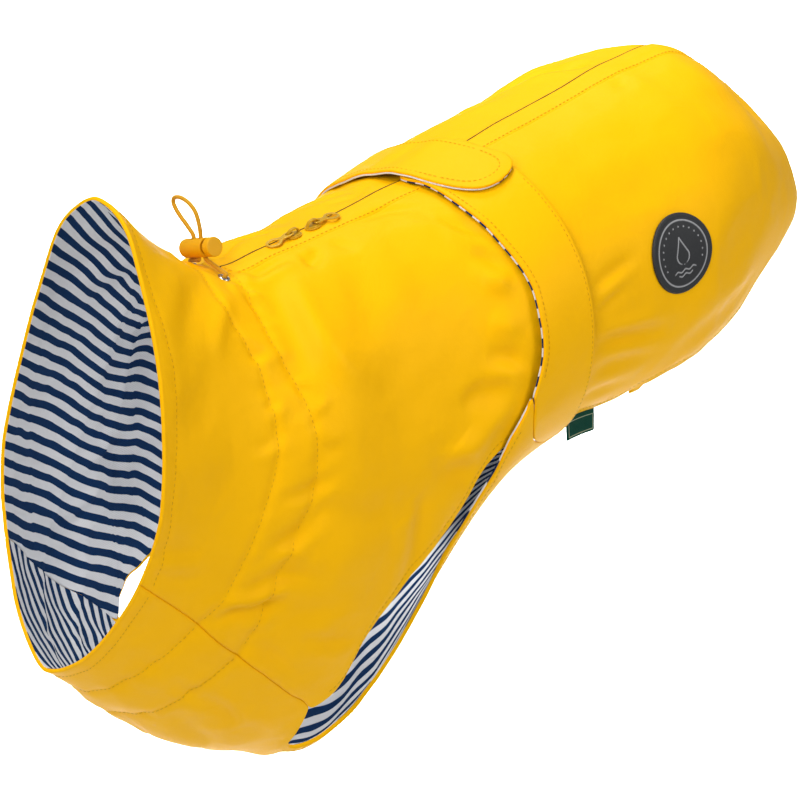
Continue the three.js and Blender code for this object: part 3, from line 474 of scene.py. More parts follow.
class Nodes:
    """A material and short calls for its nodes."""

    def __init__(self, name):
        self.mat = bpy.data.materials.new(name)
        self.mat.use_nodes = True
        self.tree = self.mat.node_tree
        self.bsdf = self.tree.nodes["Principled BSDF"]

    def node(self, kind, **values):
        n = self.tree.nodes.new(kind)
        for k, v in values.items():
            if hasattr(n, k):
                setattr(n, k, v)
            else:
                n.inputs[k.replace("_", " ")].default_value = v
        return n

    def link(self, a, b):
        self.tree.links.new(a, b)

    def attr(self, name):
        return self.node("ShaderNodeAttribute", attribute_name=name)

    def math(self, op, a, b=None, c=None, clamp=False):
        n = self.node("ShaderNodeMath", operation=op, use_clamp=clamp)
        for k, v in enumerate((a, b, c)):
            if v is None:
                continue
            if isinstance(v, (int, float)):
                n.inputs[k].default_value = v
            else:
                self.link(v, n.inputs[k])
        return n.outputs[0]

    def mix(self, factor, a, b, mode="MIX"):
        n = self.node("ShaderNodeMix", data_type="RGBA", blend_type=mode)
        for k, v in ((0, factor), (6, a), (7, b)):
            if isinstance(v, (int, float)):
                n.inputs[k].default_value = v
            elif isinstance(v, tuple):
                n.inputs[k].default_value = (*v, 1) if len(v) == 3 else v
            else:
                self.link(v, n.inputs[k])
        return n.outputs[2]

    def noise(self, vector, scale, detail=3.0, rough=.55, distortion=0.0):
        n = self.node("ShaderNodeTexNoise", Scale=scale, Detail=detail, Roughness=rough, Distortion=distortion)
        self.link(vector, n.inputs["Vector"])
        return n.outputs[0]

    def ramp(self, value, stops):
        n = self.node("ShaderNodeValToRGB")
        e = n.color_ramp.elements
        while len(e) < len(stops):
            e.new(.5)
        for k, (at, c) in enumerate(stops):
            e[k].position = at
            e[k].color = (*c, 1) if len(c) == 3 else c
        self.link(value, n.inputs[0])
        return n.outputs[0]

    def scale(self, value, low, high):
        n = self.node("ShaderNodeMapRange", To_Min=low, To_Max=high)
        self.link(value, n.inputs[0])
        return n.outputs[0]

    def bump(self, height, strength, distance, normal=None):
        n = self.node("ShaderNodeBump", Strength=strength, Distance=distance)
        self.link(height, n.inputs["Height"])
        if normal is not None:
            self.link(normal, n.inputs["Normal"])
        return n.outputs[0]

    def coords(self):
        return self.node("ShaderNodeTexCoord").outputs["Object"]

    def set(self, **values):
        for k, v in values.items():
            s = self.bsdf.inputs[k.replace("_", " ")]
            if isinstance(v, (int, float)):
                s.default_value = v
            elif isinstance(v, tuple):
                s.default_value = (*v, 1) if len(v) == 3 else v
            else:
                self.link(v, s)
        return self.mat


def weave(m, lay, per_metre):
    """Height of a plain weave on the flat-cut coordinates."""
    sep = m.node("ShaderNodeSeparateXYZ")
    m.link(lay, sep.inputs[0])
    a = m.math("SINE", m.math("MULTIPLY", sep.outputs[0], per_metre * math.tau))
    b = m.math("SINE", m.math("MULTIPLY", sep.outputs[1], per_metre * math.tau))
    return m.math("MULTIPLY", a, b)


def coated_cloth(name, base, deep, light):
    m = Nodes(name)
    lay, pos = m.attr("lay").outputs["Vector"], m.coords()
    broad = m.noise(pos, 9, 3, .5)
    mottled = m.noise(pos, 55, 4, .6)
    grain = m.noise(lay, 1500, 2, .6)
    c = m.mix(m.scale(broad, 0, 1), base, light)
    c = m.mix(m.math("MULTIPLY", m.scale(mottled, 0, 1), .35), c, deep)
    # darker within about 2 mm of the cut edges, in noisy patches
    rim = m.math("SUBTRACT", 1, m.math("MULTIPLY", m.attr("edge").outputs["Fac"], 1 / .0022), clamp=True)
    edge_darkening = m.math("MULTIPLY", rim, m.scale(m.noise(pos, 260, 3, .6), .15, .75), clamp=True)
    c = m.mix(edge_darkening, c, deep)
    rough = m.scale(m.math("ADD", m.math("MULTIPLY", mottled, .6), m.math("MULTIPLY", grain, .4)), .40, .58)
    n1 = m.bump(m.noise(pos, 42, 5, .58, .6), .16, .004)
    n2 = m.bump(weave(m, lay, 1350), .10, .00022, n1)
    n3 = m.bump(grain, .10, .0003, n2)
    return m.set(Base_Color=c, Roughness=rough, Normal=n3, Specular_IOR_Level=.06)


def striped_cloth(name, navy, pale):
    m = Nodes(name)
    lay, pos = m.attr("lay").outputs["Vector"], m.coords()
    s = m.attr("stripe").outputs["Fac"]
    s = m.math("ADD", s, m.math("MULTIPLY", m.math("SUBTRACT", m.noise(pos, 120, 3, .6), .5), .045))
    fr = m.math("FRACT", s)
    tri = m.math("ABSOLUTE", m.math("SUBTRACT", fr, .5))
    band = m.ramp(tri, [(.232, (1, 1, 1)), (.254, (0, 0, 0))])
    fuzz = m.noise(lay, 900, 3, .7)
    blotch = m.noise(pos, 70, 3, .55)
    dark = m.mix(m.scale(fuzz, 0, 1), navy, tuple(x * 1.6 + .004 for x in navy))
    white = m.mix(m.scale(blotch, 0, 1), pale, tuple(x * .90 for x in pale))
    white = m.mix(m.math("MULTIPLY", m.scale(fuzz, 0, 1), .25), white, tuple(x * .80 for x in pale))
    c = m.mix(band, white, dark)
    n1 = m.bump(weave(m, lay, 900), .35, .0004)
    n2 = m.bump(m.noise(pos, 60, 5, .6, .4), .22, .003, n1)
    return m.set(Base_Color=c, Roughness=m.scale(fuzz, .82, .95), Normal=n2, Specular_IOR_Level=.05)


YELLOW = coated_cloth("coated cloth", (.92, .478, .0008), (.86, .418, .0006), (.95, .506, .0010))
STRIPES = striped_cloth("striped lining", (.0035, .021, .070), (.74, .745, .76))


def thread_material():
    m = Nodes("thread")
    pos = m.coords()
    # thread darker than the cloth: partly its own tone, partly painted shade of the needle holes
    c = m.mix(m.scale(m.noise(pos, 700, 2, .6), 0, 1), (.68, .355, .002), (.54, .275, .001))
    return m.set(Base_Color=c, Roughness=.8, Normal=m.bump(m.noise(pos, 3000, 2, .6), .3, .0002), Specular_IOR_Level=.2)


def painted_metal():
    m = Nodes("painted zip metal")
    pos = m.coords()
    wear = m.noise(pos, 420, 4, .65)
    edge = m.node("ShaderNodeNewGeometry").outputs["Pointiness"]
    chip = m.math("MULTIPLY", m.scale(edge, -6.2, 7.4), wear, clamp=True)
    c = m.mix(m.scale(m.noise(pos, 160, 3, .5), 0, 1), (.64, .365, .006), (.50, .27, .004))
    c = m.mix(m.math("MULTIPLY", chip, .25), c, (.90, .66, .10))
    return m.set(Base_Color=c, Roughness=m.scale(wear, .24, .40), Metallic=.25, Normal=m.bump(m.noise(pos, 900, 3, .6), .10, .0003),
                 Specular_IOR_Level=.45, Coat_Weight=.15, Coat_Roughness=.2)


def nickel():
    m = Nodes("nickel")
    pos = m.coords()
    c = m.mix(m.scale(m.noise(pos, 600, 3, .6), 0, 1), srgb("#D8D8D8"), srgb("#A9AAAC"))
    return m.set(Base_Color=c, Roughness=m.scale(m.noise(pos, 1200, 3, .6), .14, .30), Metallic=1.0, Normal=m.bump(m.noise(pos, 1500, 2, .6), .08, .0002))


def moulded(name, a, b, rough=(.34, .46), spec=.45):
    m = Nodes(name)
    pos = m.coords()
    c = m.mix(m.scale(m.noise(pos, 130, 3, .5), 0, 1), a, b)
    return m.set(Base_Color=c, Roughness=m.scale(m.noise(pos, 800, 3, .6), *rough), Normal=m.bump(m.noise(pos, 2600, 2, .6), .10, .00018),
                 Specular_IOR_Level=spec, Subsurface_Weight=0.0)


def braid():
    m = Nodes("braided cord")
    lay = m.attr("lay").outputs["Vector"]
    c = m.mix(m.scale(m.noise(lay, 1100, 3, .6), 0, 1), (.80, .42, .008), (.66, .33, .005))
    # painted shade: the cord is darkened in the braid's grooves, where shade falls
    c = m.mix(m.math("MULTIPLY", m.attr("groove_depth_and_shade").outputs["Fac"], .8, clamp=True), c, srgb("#9A6503"))
    return m.set(Base_Color=c, Roughness=.78, Normal=m.bump(m.noise(lay, 4200, 2, .6), .25, .0002), Specular_IOR_Level=.25,
                 Sheen_Weight=.2, Sheen_Roughness=.5)


def inked(name, ground, ink, rough, weave_at=None, spec=.4):
    m = Nodes(name)
    pos = m.coords()
    g = m.mix(m.scale(m.noise(pos, 240, 4, .6), 0, 1), ground, tuple(x * .72 for x in ground))
    i = m.mix(m.scale(m.noise(pos, 500, 3, .6), 0, 1), ink, tuple(x * .82 for x in ink))
    c = m.mix(m.attr("ink").outputs["Fac"], g, i)
    h = m.noise(pos, 1600, 3, .6)
    n = m.bump(h, .18, .0003)
    if weave_at:
        n = m.bump(weave(m, m.attr("lay").outputs["Vector"], weave_at), .45, .0003, n)
    return m.set(Base_Color=c, Roughness=m.scale(h, *rough), Normal=n, Specular_IOR_Level=spec)


THREAD, PAINT, NICKEL = thread_material(), painted_metal(), nickel()
PLASTIC = moulded("lock plastic", (.74, .375, .003), (.68, .335, .002), (.40, .52), .22)
# painted shade: dark brown-yellow for the shaded inside seen through the eyelet holes
PAINTED_HOLE_SHADE = moulded("painted hole shade", srgb("#5A3A04"), srgb("#402802"), (.7, .9), .2)
# zip coil, darker than its own colour: painted shade for the shadow line at the foot of the placket fold
COIL_AND_SHADE = moulded("zip coil with painted shade", (.13, .075, .006), (.09, .052, .004), (.55, .75), .2)
CORD = braid()
RUBBER = inked("badge rubber", srgb("#26282B"), srgb("#A7A8AB"), (.52, .72))
LABEL = inked("label cloth", srgb("#04493B"), srgb("#B9C3A2"), (.65, .85), 2400, .10)


# ------------------------------------------------------------------ meshes
def new_object(name, verts, faces, material, body="coat", slot=None, attrs=None, sharp=False):
    """verts in millimetres; faces a list, or an array of quads or triangles."""
    mesh = bpy.data.meshes.new(name)
    v = (np.asarray(verts, float) * MM).astype(np.float32)
    if isinstance(faces, np.ndarray):
        k = faces.shape[1]
        mesh.vertices.add(len(v))
        mesh.vertices.foreach_set("co", v.ravel())
        mesh.loops.add(faces.size)
        mesh.loops.foreach_set("vertex_index", faces.astype(np.int32).ravel())
        mesh.polygons.add(len(faces))
        mesh.polygons.foreach_set("loop_start", np.arange(0, faces.size, k, dtype=np.int32))
        mesh.update(calc_edges=True)
    else:
        mesh.from_pydata(v.tolist(), [], faces)
    mesh.validate()
    if not sharp:
        mesh.polygons.foreach_set("use_smooth", np.ones(len(mesh.polygons), bool))
    for key, values in (attrs or {}).items():
        values = np.asarray(values, np.float32)
        a = mesh.attributes.new(key, "FLOAT_VECTOR" if values.ndim == 2 else "FLOAT", "POINT")
        a.data.foreach_set("vector" if values.ndim == 2 else "value", values.ravel())
    mesh.materials.append(material)
    o = bpy.data.objects.new(name, mesh)
    bpy.context.scene.collection.objects.link(o)
    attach(o, body)
    return o


def wall(outer, inner):
    """Verts and outward quads of a closed wall between two grids (rows, cols, 3)."""
    R, C = outer.shape[:2]
    v = np.concatenate([outer.reshape(-1, 3), inner.reshape(-1, 3)])
    k = np.arange(R * C).reshape(R, C)
    m = k + R * C
    q = lambda a, b, c, d: np.stack([x.ravel() for x in (a, b, c, d)], 1)
    f = [q(k[:-1, :-1], k[:-1, 1:], k[1:, 1:], k[1:, :-1]), q(m[:-1, :-1], m[1:, :-1], m[1:, 1:], m[:-1, 1:]),
         q(k[0, :-1], m[0, :-1], m[0, 1:], k[0, 1:]), q(k[-1, :-1], k[-1, 1:], m[-1, 1:], m[-1, :-1]),
         q(k[:-1, 0], k[1:, 0], m[1:, 0], m[:-1, 0]), q(k[:-1, -1], m[:-1, -1], m[1:, -1], k[1:, -1])]
    f = np.concatenate(f)
    a, b, c, d = (v[f[:, j]] for j in range(4))
    vol = np.einsum("ij,ij->i", a, np.cross(b, c)).sum() + np.einsum("ij,ij->i", a, np.cross(c, d)).sum()
    return v, f if vol > 0 else f[:, ::-1]


OUTER = {"free": [(0, -1.05), (.1, -.62), (.25, -.37), (.45, -.19), (.8, -.04), (1.1, 0)],
         "seam": [(0, -.85), (.2, -.50), (.5, -.20), (.9, -.04), (1.2, 0)],
         "flush": [(0, -.10), (.3, 0), (1, 0)],
         "lining": [(0, -.35), (.15, -.12), (.4, 0)]}
INNER = {"free": [(0, -1.35), (.1, -1.80), (.25, -2.05), (.45, -2.25), (.8, -2.35), (1.2, -2.30), (1.6, -1.90), (2.0, -1.30), (2.3, -1.2)],
         "seam": [(0, -1.35), (.3, -1.25), (1, -1.2)],
         "flush": [(0, -1.15), (.3, -1.2), (1, -1.2)],
         "lining": [(0, -.65), (.15, -.88), (.4, -1.0)]}
NEAR_EDGE = [0, .1, .25, .45, .8, 1.2, 1.6, 2.0, 2.3, 3.2, 4.6]


def edge_lift(kinds, dists, scale=1.0):
    """Outer and inner face heights from the distances to the piece's edges."""
    outer, inner = 0, -SHELL if "lining" not in kinds else -LINING
    for kind, d in zip(kinds, dists):
        if kind is None:
            continue
        o, i = np.array(OUTER[kind]), np.array(INNER[kind])
        outer = np.minimum(outer, np.interp(d, o[:, 0], o[:, 1]))
        inner = np.minimum(inner, np.interp(d, i[:, 0], i[:, 1]))
        nose = np.interp(0, i[:, 0], i[:, 1])
        if kind == "lining":
            inner = np.maximum(inner, np.interp(d, i[:, 0], i[:, 1])) if np.ndim(inner) else np.interp(d, i[:, 0], i[:, 1])
    return outer * scale, inner * scale


def across(width, n, first, last):
    """Places in mm across a width per row: close at both edges, even between."""
    a, b = np.array(first), np.array(last)[::-1]
    width = np.asarray(width)[:, None]
    mid = a[-1] + (width - a[-1] - b[0]) * np.linspace(0, 1, n + 2)[None, 1:-1]
    return np.concatenate([np.broadcast_to(a, (len(width), len(a))), mid, width - np.broadcast_to(b, (len(width), len(b)))], 1)


def cloth_object(name, u, q, outer, inner, material, slot, crease=1.0, crease_in=None, stripe=None, edge=None, node=None, body="coat"):
    """A closed sheet of cloth over the form."""
    ci = crease if crease_in is None else crease_in
    v, f = wall(surface(u, q, outer, crease), surface(u, q, inner, ci))
    along, girth = sample(ALONG, u, q), girth_at(u, q)
    lay = np.stack([along, girth, 0 * along], -1).reshape(-1, 3) * MM
    attrs = {"lay": np.concatenate([lay, lay])}
    if stripe is not None:
        s = stripe(u, q, along, girth).ravel()
        attrs["stripe"] = np.concatenate([s, s])
    e = (np.full(u.shape, 9.0) if edge is None else edge).ravel() * MM
    attrs["edge"] = np.concatenate([e, e])
    o = new_object(name, v, f, material, body, slot, attrs)
    if node:
        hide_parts(node)
    return o


# ------------------------------------------------------------------ drawcord, lock and eyelets
def frame_at(u, q):
    o, n = sample(P, u, q), sample(N, u, q)
    n = n / np.linalg.norm(n)
    a = sample(P, u + .05, q) - sample(P, u - .05, q)
    a -= a @ n * n
    a /= np.linalg.norm(a)
    c = np.cross(a, n)
    return o, n, a, c / np.linalg.norm(c)


LOCK_R, LOCK_LONG, HEAD_FROM, HEAD_TO = 5.2, 18.2, 20.4, 24.8
tilt = math.radians(17.6)
LOCK_AXIS = np.array([math.cos(tilt), 0, math.sin(tilt)])
LOCK_UP = np.array([-LOCK_AXIS[2], 0, LOCK_AXIS[0]])
LOCK_SIDE = np.cross(LOCK_UP, LOCK_AXIS)
LOCK_END = np.array([-15.216, 0, 6.706])
HOLES = [9.0, 14.9]
lock_point = lambda s, h: LOCK_END + LOCK_AXIS * s + LOCK_UP * h
LOOP = [(-9.2, 16.6), (-11.8, 18.6), (-15.1, 21.2), (-18.6, 23.6), (-22.0, 26.6), (-24.0, 29.6), (-23.6, 32.2), (-21.2, 33.6), (-17.6, 34.1),
        (-13.6, 33.5), (-10.0, 32.0), (-7.2, 30.0), (-5.4, 27.4), (-4.0, 23.8), (-3.1, 20.2)]
EYE = {s: frame_at(1.93, s * 13.3 / float(run_at(1.93, s))) for s in (1, -1)}
eye = lambda s, h: EYE[s][0] + EYE[s][1] * h
route = [eye(1, -1.6), eye(1, .4), eye(1, 1.9), eye(1, 2.9), lock_point(14.9, -6.7) + np.array([1.2, 0, -.1]), lock_point(14.9, -5.2), lock_point(14.9, -2), lock_point(14.9, 2), lock_point(14.9, 5.8)]
route += [np.array([x, 0, z]) for x, z in LOOP[::-1]]
route += [lock_point(9.0, 5.8), lock_point(9.0, 2), lock_point(9.0, -2), lock_point(9.0, -5.2), lock_point(9.0, -6.6), eye(-1, 2.9), eye(-1, 1.9), eye(-1, .4), eye(-1, -1.6)]


def even(points, step):
    p = np.asarray(points)
    r = np.concatenate([[0], np.cumsum(np.linalg.norm(np.diff(p, axis=0), axis=1))])
    n = max(int(round(r[-1] / step)), 2)
    s = np.linspace(0, r[-1], n + 1)
    return np.stack([np.interp(s, r, p[:, k]) for k in range(3)], 1), r[-1]


def soften(p, rounds):
    p = p.copy()
    for _ in range(rounds):
        p[1:-1] += .5 * ((p[:-2] + p[2:]) / 2 - p[1:-1])
    return p


cord_line, _ = even(spline(route, 12), .3)
cord_line, cord_long = even(soften(cord_line, 14), .3)


def tube_mesh(line, radius, ring=24, relief=None):
    t = np.gradient(line, axis=0)
    t /= np.linalg.norm(t, axis=1, keepdims=True)
    up = np.array([0, 1, 0.0])
    frames = []
    for k in range(len(line)):
        up = up - up @ t[k] * t[k]
        up /= np.linalg.norm(up)
        frames.append(up.copy())
    X = np.array(frames)
    Y = np.cross(t, X)
    a = np.linspace(0, math.tau, ring, endpoint=False)
    run = np.concatenate([[0], np.cumsum(np.linalg.norm(np.diff(line, axis=0), axis=1))])
    groove_depth_and_shade = relief(run[:, None], a[None]) if relief else np.zeros((len(line), ring))
    r = radius - groove_depth_and_shade * .10
    v = line[:, None] + r[..., None] * (np.cos(a)[None, :, None] * X[:, None] + np.sin(a)[None, :, None] * Y[:, None])
    R = len(line)
    k = np.arange(R * ring).reshape(R, ring)
    n = np.roll(k, -1, 1)
    f = np.stack([k[:-1].ravel(), n[:-1].ravel(), n[1:].ravel(), k[1:].ravel()], 1)
    verts = np.concatenate([v.reshape(-1, 3), line[:1], line[-1:]])
    caps = [[R * ring, n[0, j], k[0, j]] for j in range(ring)] + [[R * ring + 1, k[-1, j], n[-1, j]] for j in range(ring)]
    lay = np.concatenate([np.stack([np.broadcast_to(run[:, None], (R, ring)), np.broadcast_to(a * radius, (R, ring)), 0 * groove_depth_and_shade], -1).reshape(-1, 3), np.zeros((2, 3))]) * MM
    return verts, f.tolist() + caps, {"lay": lay, "groove_depth_and_shade": np.concatenate([groove_depth_and_shade.ravel(), [0, 0]])}


def braid_relief(run, a):
    s, n = run / 1.9 * math.tau, 6
    one, two = np.sin(n * a + s * 1.0), np.sin(n * a - s * 1.0)
    return np.clip(1 - np.maximum(np.abs(one), np.abs(two)) ** .8, 0, 1) * 1.5


verts, faces, attrs = tube_mesh(cord_line, 1.25, 24, braid_relief)
drawcord = new_object("drawcord", verts, faces, CORD, "coat", "cord", attrs)
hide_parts("drawcord_leg_right", "drawcord_leg_left", "drawcord_loop")
print("cord length mm", round(cord_long, 1))


def lathe(rows, n, origin, x, y, z):
    """Closed turned solid: rows of (radius, along y)."""
    rows = np.asarray(rows, float)
    a = np.linspace(0, math.tau, n, endpoint=False)
    v, f, ids = [], [], []
    for r, h in rows:
        if r < 1e-6:
            ids.append([len(v)] * n)
            v.append(origin + y * h)
        else:
            ids.append(list(range(len(v), len(v) + n)))
            v.extend(origin + y * h + r * (math.cos(t) * x + math.sin(t) * z) for t in a)
    for one, two in zip(ids, ids[1:]):
        for j in range(n):
            k = (j + 1) % n
            face = [one[j], one[k], two[k], two[j]]
            face = [c for i, c in enumerate(face) if c != face[i - 1]]
            if len(face) > 2:
                f.append(face)
    v = np.array(v)
    vol = sum(np.dot(v[t[0]], np.cross(v[t[i]], v[t[i + 1]])) for t in f for i in range(1, len(t) - 1))
    return v, f if vol > 0 else [t[::-1] for t in f]


def round_corner(points, radius, steps=5):
    """Rows of a profile with each inner corner rounded."""
    p = np.asarray(points, float)
    out = [p[0]]
    for a, b, c in zip(p, p[1:], p[2:]):
        r = min(radius, .45 * np.linalg.norm(b - a), .45 * np.linalg.norm(c - b))
        one, two = b + (a - b) / np.linalg.norm(a - b) * r, b + (c - b) / np.linalg.norm(c - b) * r
        for t in np.linspace(0, 1, steps):
            out.append((1 - t) ** 2 * one + 2 * t * (1 - t) * b + t * t * two)
    out.append(p[-1])
    return out


def apply_modifiers(o):
    dep = bpy.context.evaluated_depsgraph_get()
    mesh = bpy.data.meshes.new_from_object(o.evaluated_get(dep))
    old = o.data
    o.modifiers.clear()
    o.data = mesh
    bpy.data.meshes.remove(old)
    mesh.polygons.foreach_set("use_smooth", np.ones(len(mesh.polygons), bool))
    return o


def cut(o, *tools):
    """Takes the tools' solids out of o."""
    for tool in tools:
        m = o.modifiers.new("cut", "BOOLEAN")
        m.operation, m.solver, m.object = "DIFFERENCE", "EXACT", tool
    bpy.context.view_layer.update()
    apply_modifiers(o)
    for tool in tools:
        bpy.data.objects.remove(tool, do_unlink=True)
    return o


def loose_tool(verts, faces):
    mesh = bpy.data.meshes.new("tool")
    mesh.from_pydata((np.asarray(verts) * MM).tolist(), [], faces)
    o = bpy.data.objects.new("tool", mesh)
    bpy.context.scene.collection.objects.link(o)
    return o


def auto_sharp(o, degrees=35):
    """Marks edges over an angle as sharp, so flat faces stay flat."""
    mesh = o.data
    mesh.set_sharp_from_angle(angle=math.radians(degrees))


barrel_rows = round_corner([(0, 0), (LOCK_R - .1, 0), (LOCK_R, LOCK_LONG), (3.9, LOCK_LONG), (3.9, 4.2), (0, 4.2)], 1.5, 8)
v, f = lathe(barrel_rows, 72, LOCK_END, LOCK_UP, LOCK_AXIS, LOCK_SIDE)
barrel = new_object("cord_lock_body", v, f, PLASTIC, "coat", "lock_plastic")
tools = []
for s in HOLES:
    c = lock_point(s, 0)
    tools.append(loose_tool(*lathe([(0, -8), (1.75, -8), (1.75, 8), (0, 8)], 28, c, LOCK_AXIS, LOCK_UP, LOCK_SIDE)))
cut(barrel, *tools)
auto_sharp(barrel, 32)
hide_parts("cord_lock_barrel")
stem_rows = round_corner([(0, 6.2), (3.4, 6.2), (3.4, HEAD_FROM), (LOCK_R + .05, HEAD_FROM), (LOCK_R + .05, HEAD_TO), (LOCK_R * .55, HEAD_TO + .05), (0, HEAD_TO + .05)], .7, 6)
v, f = lathe(stem_rows, 72, LOCK_END, LOCK_UP, LOCK_AXIS, LOCK_SIDE)
head = new_object("cord_lock_button", v, f, PLASTIC, "cord_lock_plunger", "lock_plastic")
tools = []
for s in HOLES:
    # a slot as long as the press, so the cord stays clear of the stem
    for on, w in ((0, 1.9), (.9, 1.78), (1.75, 1.7)):
        tools.append(loose_tool(*lathe([(0, -6), (w, -6), (w, 6), (0, 6)], 24, lock_point(s + on, 0), LOCK_AXIS, LOCK_UP, LOCK_SIDE)))
cut(head, *tools)
auto_sharp(head, 32)
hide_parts("cord_lock_plunger")

eyelets = []
for name, s in (("left", 1), ("right", -1)):
    o, n, a, c = EYE[s]
    prof = [(1.95, -.9), (2.0, -.2), (1.95, .55), (2.12, .95), (2.5, 1.12), (2.95, 1.05), (3.3, .8), (3.5, .45), (3.52, .15), (3.42, .02), (2.6, -.05), (2.3, -.9), (1.95, -.9)]
    v, f = lathe(prof, 56, o + n * .30, c, n, -a)
    e = new_object("eyelet_ring_" + name, v, f, NICKEL, "coat", "nickel")
    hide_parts("eyelet_" + name)
    # painted shade: a dark disc in the eyelet hole stands for the shaded hollow inside
    hole_shade = lathe([(0, -.75), (1.96, -.75), (1.96, -.25), (1.2, -.45), (0, -.5)], 40, o + n * .30, c, n, -a)
    new_object("eyelet_hole_shade_" + name, *hole_shade, PAINTED_HOLE_SHADE, "coat", "coated_cloth")
    eyelets.append(e)

# ------------------------------------------------------------------ cape: two halves and their linings
def cape_rows(step_a, step_b):
    ends = [0, .002, .005, .010, .017, .026, .036, .048, .066, .09]
    mid = np.concatenate([np.arange(.12, 4.4, step_a), np.arange(4.4, 11.86, step_b)])
    return np.concatenate([ends, mid, 12 - np.array([.11, .085, .066, .050, .038, .028, .019, .012, .006, .0025, 0])])


def cape_half(side, name, node):
    u1 = cape_rows(.040, .055)
    width = pchip(CAPE_EDGE[side], u1) * run_at(u1, side)
    g = across(width, 112, NEAR_EDGE, NEAR_EDGE)
    u = np.broadcast_to(u1[:, None], g.shape)
    q = g / run_at(u1, side)[:, None]
    rim, tail = sample(ALONG, u, q * side), (sample(ALONG, np.full(u.shape, 12.0), q * side) - sample(ALONG, u, q * side))
    low = width[:, None] - g
    seam_to = 3.18 if side > 0 else 2.40
    zone = smooth(u, seam_to, seam_to + .12)
    o1, i1 = edge_lift(["free", "free", "flush"], [rim, tail, g])
    of, jf = edge_lift(["free"], [low])
    os, js = edge_lift(["seam"], [low])
    outer = np.minimum(o1, of * zone + os * (1 - zone))
    inner = np.minimum(i1, jf * zone + js * (1 - zone))
    edge = np.minimum(np.minimum(rim, tail), low)
    return cloth_object(name, u, side * q, outer, inner, YELLOW, "coated_cloth", edge=edge, node=node)


def jog(x, seed, size=1.0):
    """Small steps, as where folded cloth shifts a stripe."""
    k = np.floor(x)
    f = x - k
    a, b = hashed(k.astype(np.int64), np.full(k.shape, 7, np.int64), np.full(k.shape, 3, np.int64), seed), hashed((k + 1).astype(np.int64), np.full(k.shape, 7, np.int64), np.full(k.shape, 3, np.int64), seed)
    return size * (a + (b - a) * smooth(f, .86, 1.0))


PERIOD = 9.7


def cape_stripe(u, q, along, girth):
    a, g = np.minimum(along, 116) / 50, np.abs(girth) / 100
    s = 100 * (g - .0767 * a + .0091 * a ** 2 + .0607 * a * g + .0351 * a * a * g - .0457 * a ** 3 - .0288 * a * g * g) - .78 * np.maximum(along - 116, 0)
    s = s + 1.1 * noise(np.stack([along, girth, 0 * girth], -1), 26, 12) + .5 * noise(np.stack([along, girth, 0 * girth], -1), 9, 14)
    s = s + jog((along + girth * .22 + 6 * noise1(girth / 40, 5)) / 24, 21, 1.15) * smooth(along, 8, 30)
    return s / PERIOD - .1


def chest_stripe(u, q, along, girth):
    s = .923 * along + .385 * girth
    s = s + 1.4 * noise(np.stack([along, girth, 0 * girth], -1), 24, 15) + .5 * noise(np.stack([along, girth, 0 * girth], -1), 9, 16)
    return s / PERIOD + .3


def cape_lining(side, name, node):
    u1 = np.concatenate([[.009, .012, .017, .026, .045], np.arange(.08, 4.4, .062), np.arange(4.4, 11.80, .085), 12 - np.array([.16, .13, .10, .085, .074, .068, .064])])
    width = pchip(CAPE_EDGE[side], u1) * run_at(u1, side)
    inset = .25 + 1.65 * smooth(u1, *((3.0, 3.15) if side > 0 else (2.28, 2.42)))
    g = across(width - inset, 74, [0, .15, .4, 1.2, 2.6], [0, .15, .4, 1.2, 2.6])
    u = np.broadcast_to(u1[:, None], g.shape)
    q = g / run_at(u1, side)[:, None]
    rim, tail = sample(ALONG, u, q * side) - sample(ALONG, np.full(u.shape, .009), q * side), sample(ALONG, np.full(u.shape, 11.936), q * side) - sample(ALONG, u, q * side)
    low = (width - inset)[:, None] - g
    d = np.minimum(np.minimum(rim, tail), np.minimum(low, g))
    t = np.interp(d, [0, .15, .4], [.3, .76, 1.0])
    mid = -1.5 - LINING / 2
    return cloth_object(name, u, side * q, mid + t * LINING / 2, mid - t * LINING / 2, STRIPES, "striped_lining", stripe=cape_stripe, node=node)


cape_near = cape_half(1, "shell_left", "cape_left")
cape_far = cape_half(-1, "shell_right", "cape_right")
lining_near = cape_lining(1, "inside_left", "cape_lining_left")
lining_far = cape_lining(-1, "inside_right", "cape_lining_right")


# ------------------------------------------------------------------ chest panel and bib
def bib_rows(fine):
    ends = [0, .002, .005, .010, .017, .026, .036, .048, .066, .09]
    a = np.concatenate([np.arange(.12, 2.38, fine), np.arange(2.38, 2.66, fine * .5), np.arange(2.66, 3.19, fine), np.arange(3.19, 3.40, fine * .28), np.arange(3.40, 5.4, fine), np.arange(5.4, 6.3, fine * .55), np.arange(6.3, 6.9, fine)])
    return np.concatenate([ends, a, 7.0 - np.array([.08, .06, .045, .032, .022, .013, .006, .002, 0])])


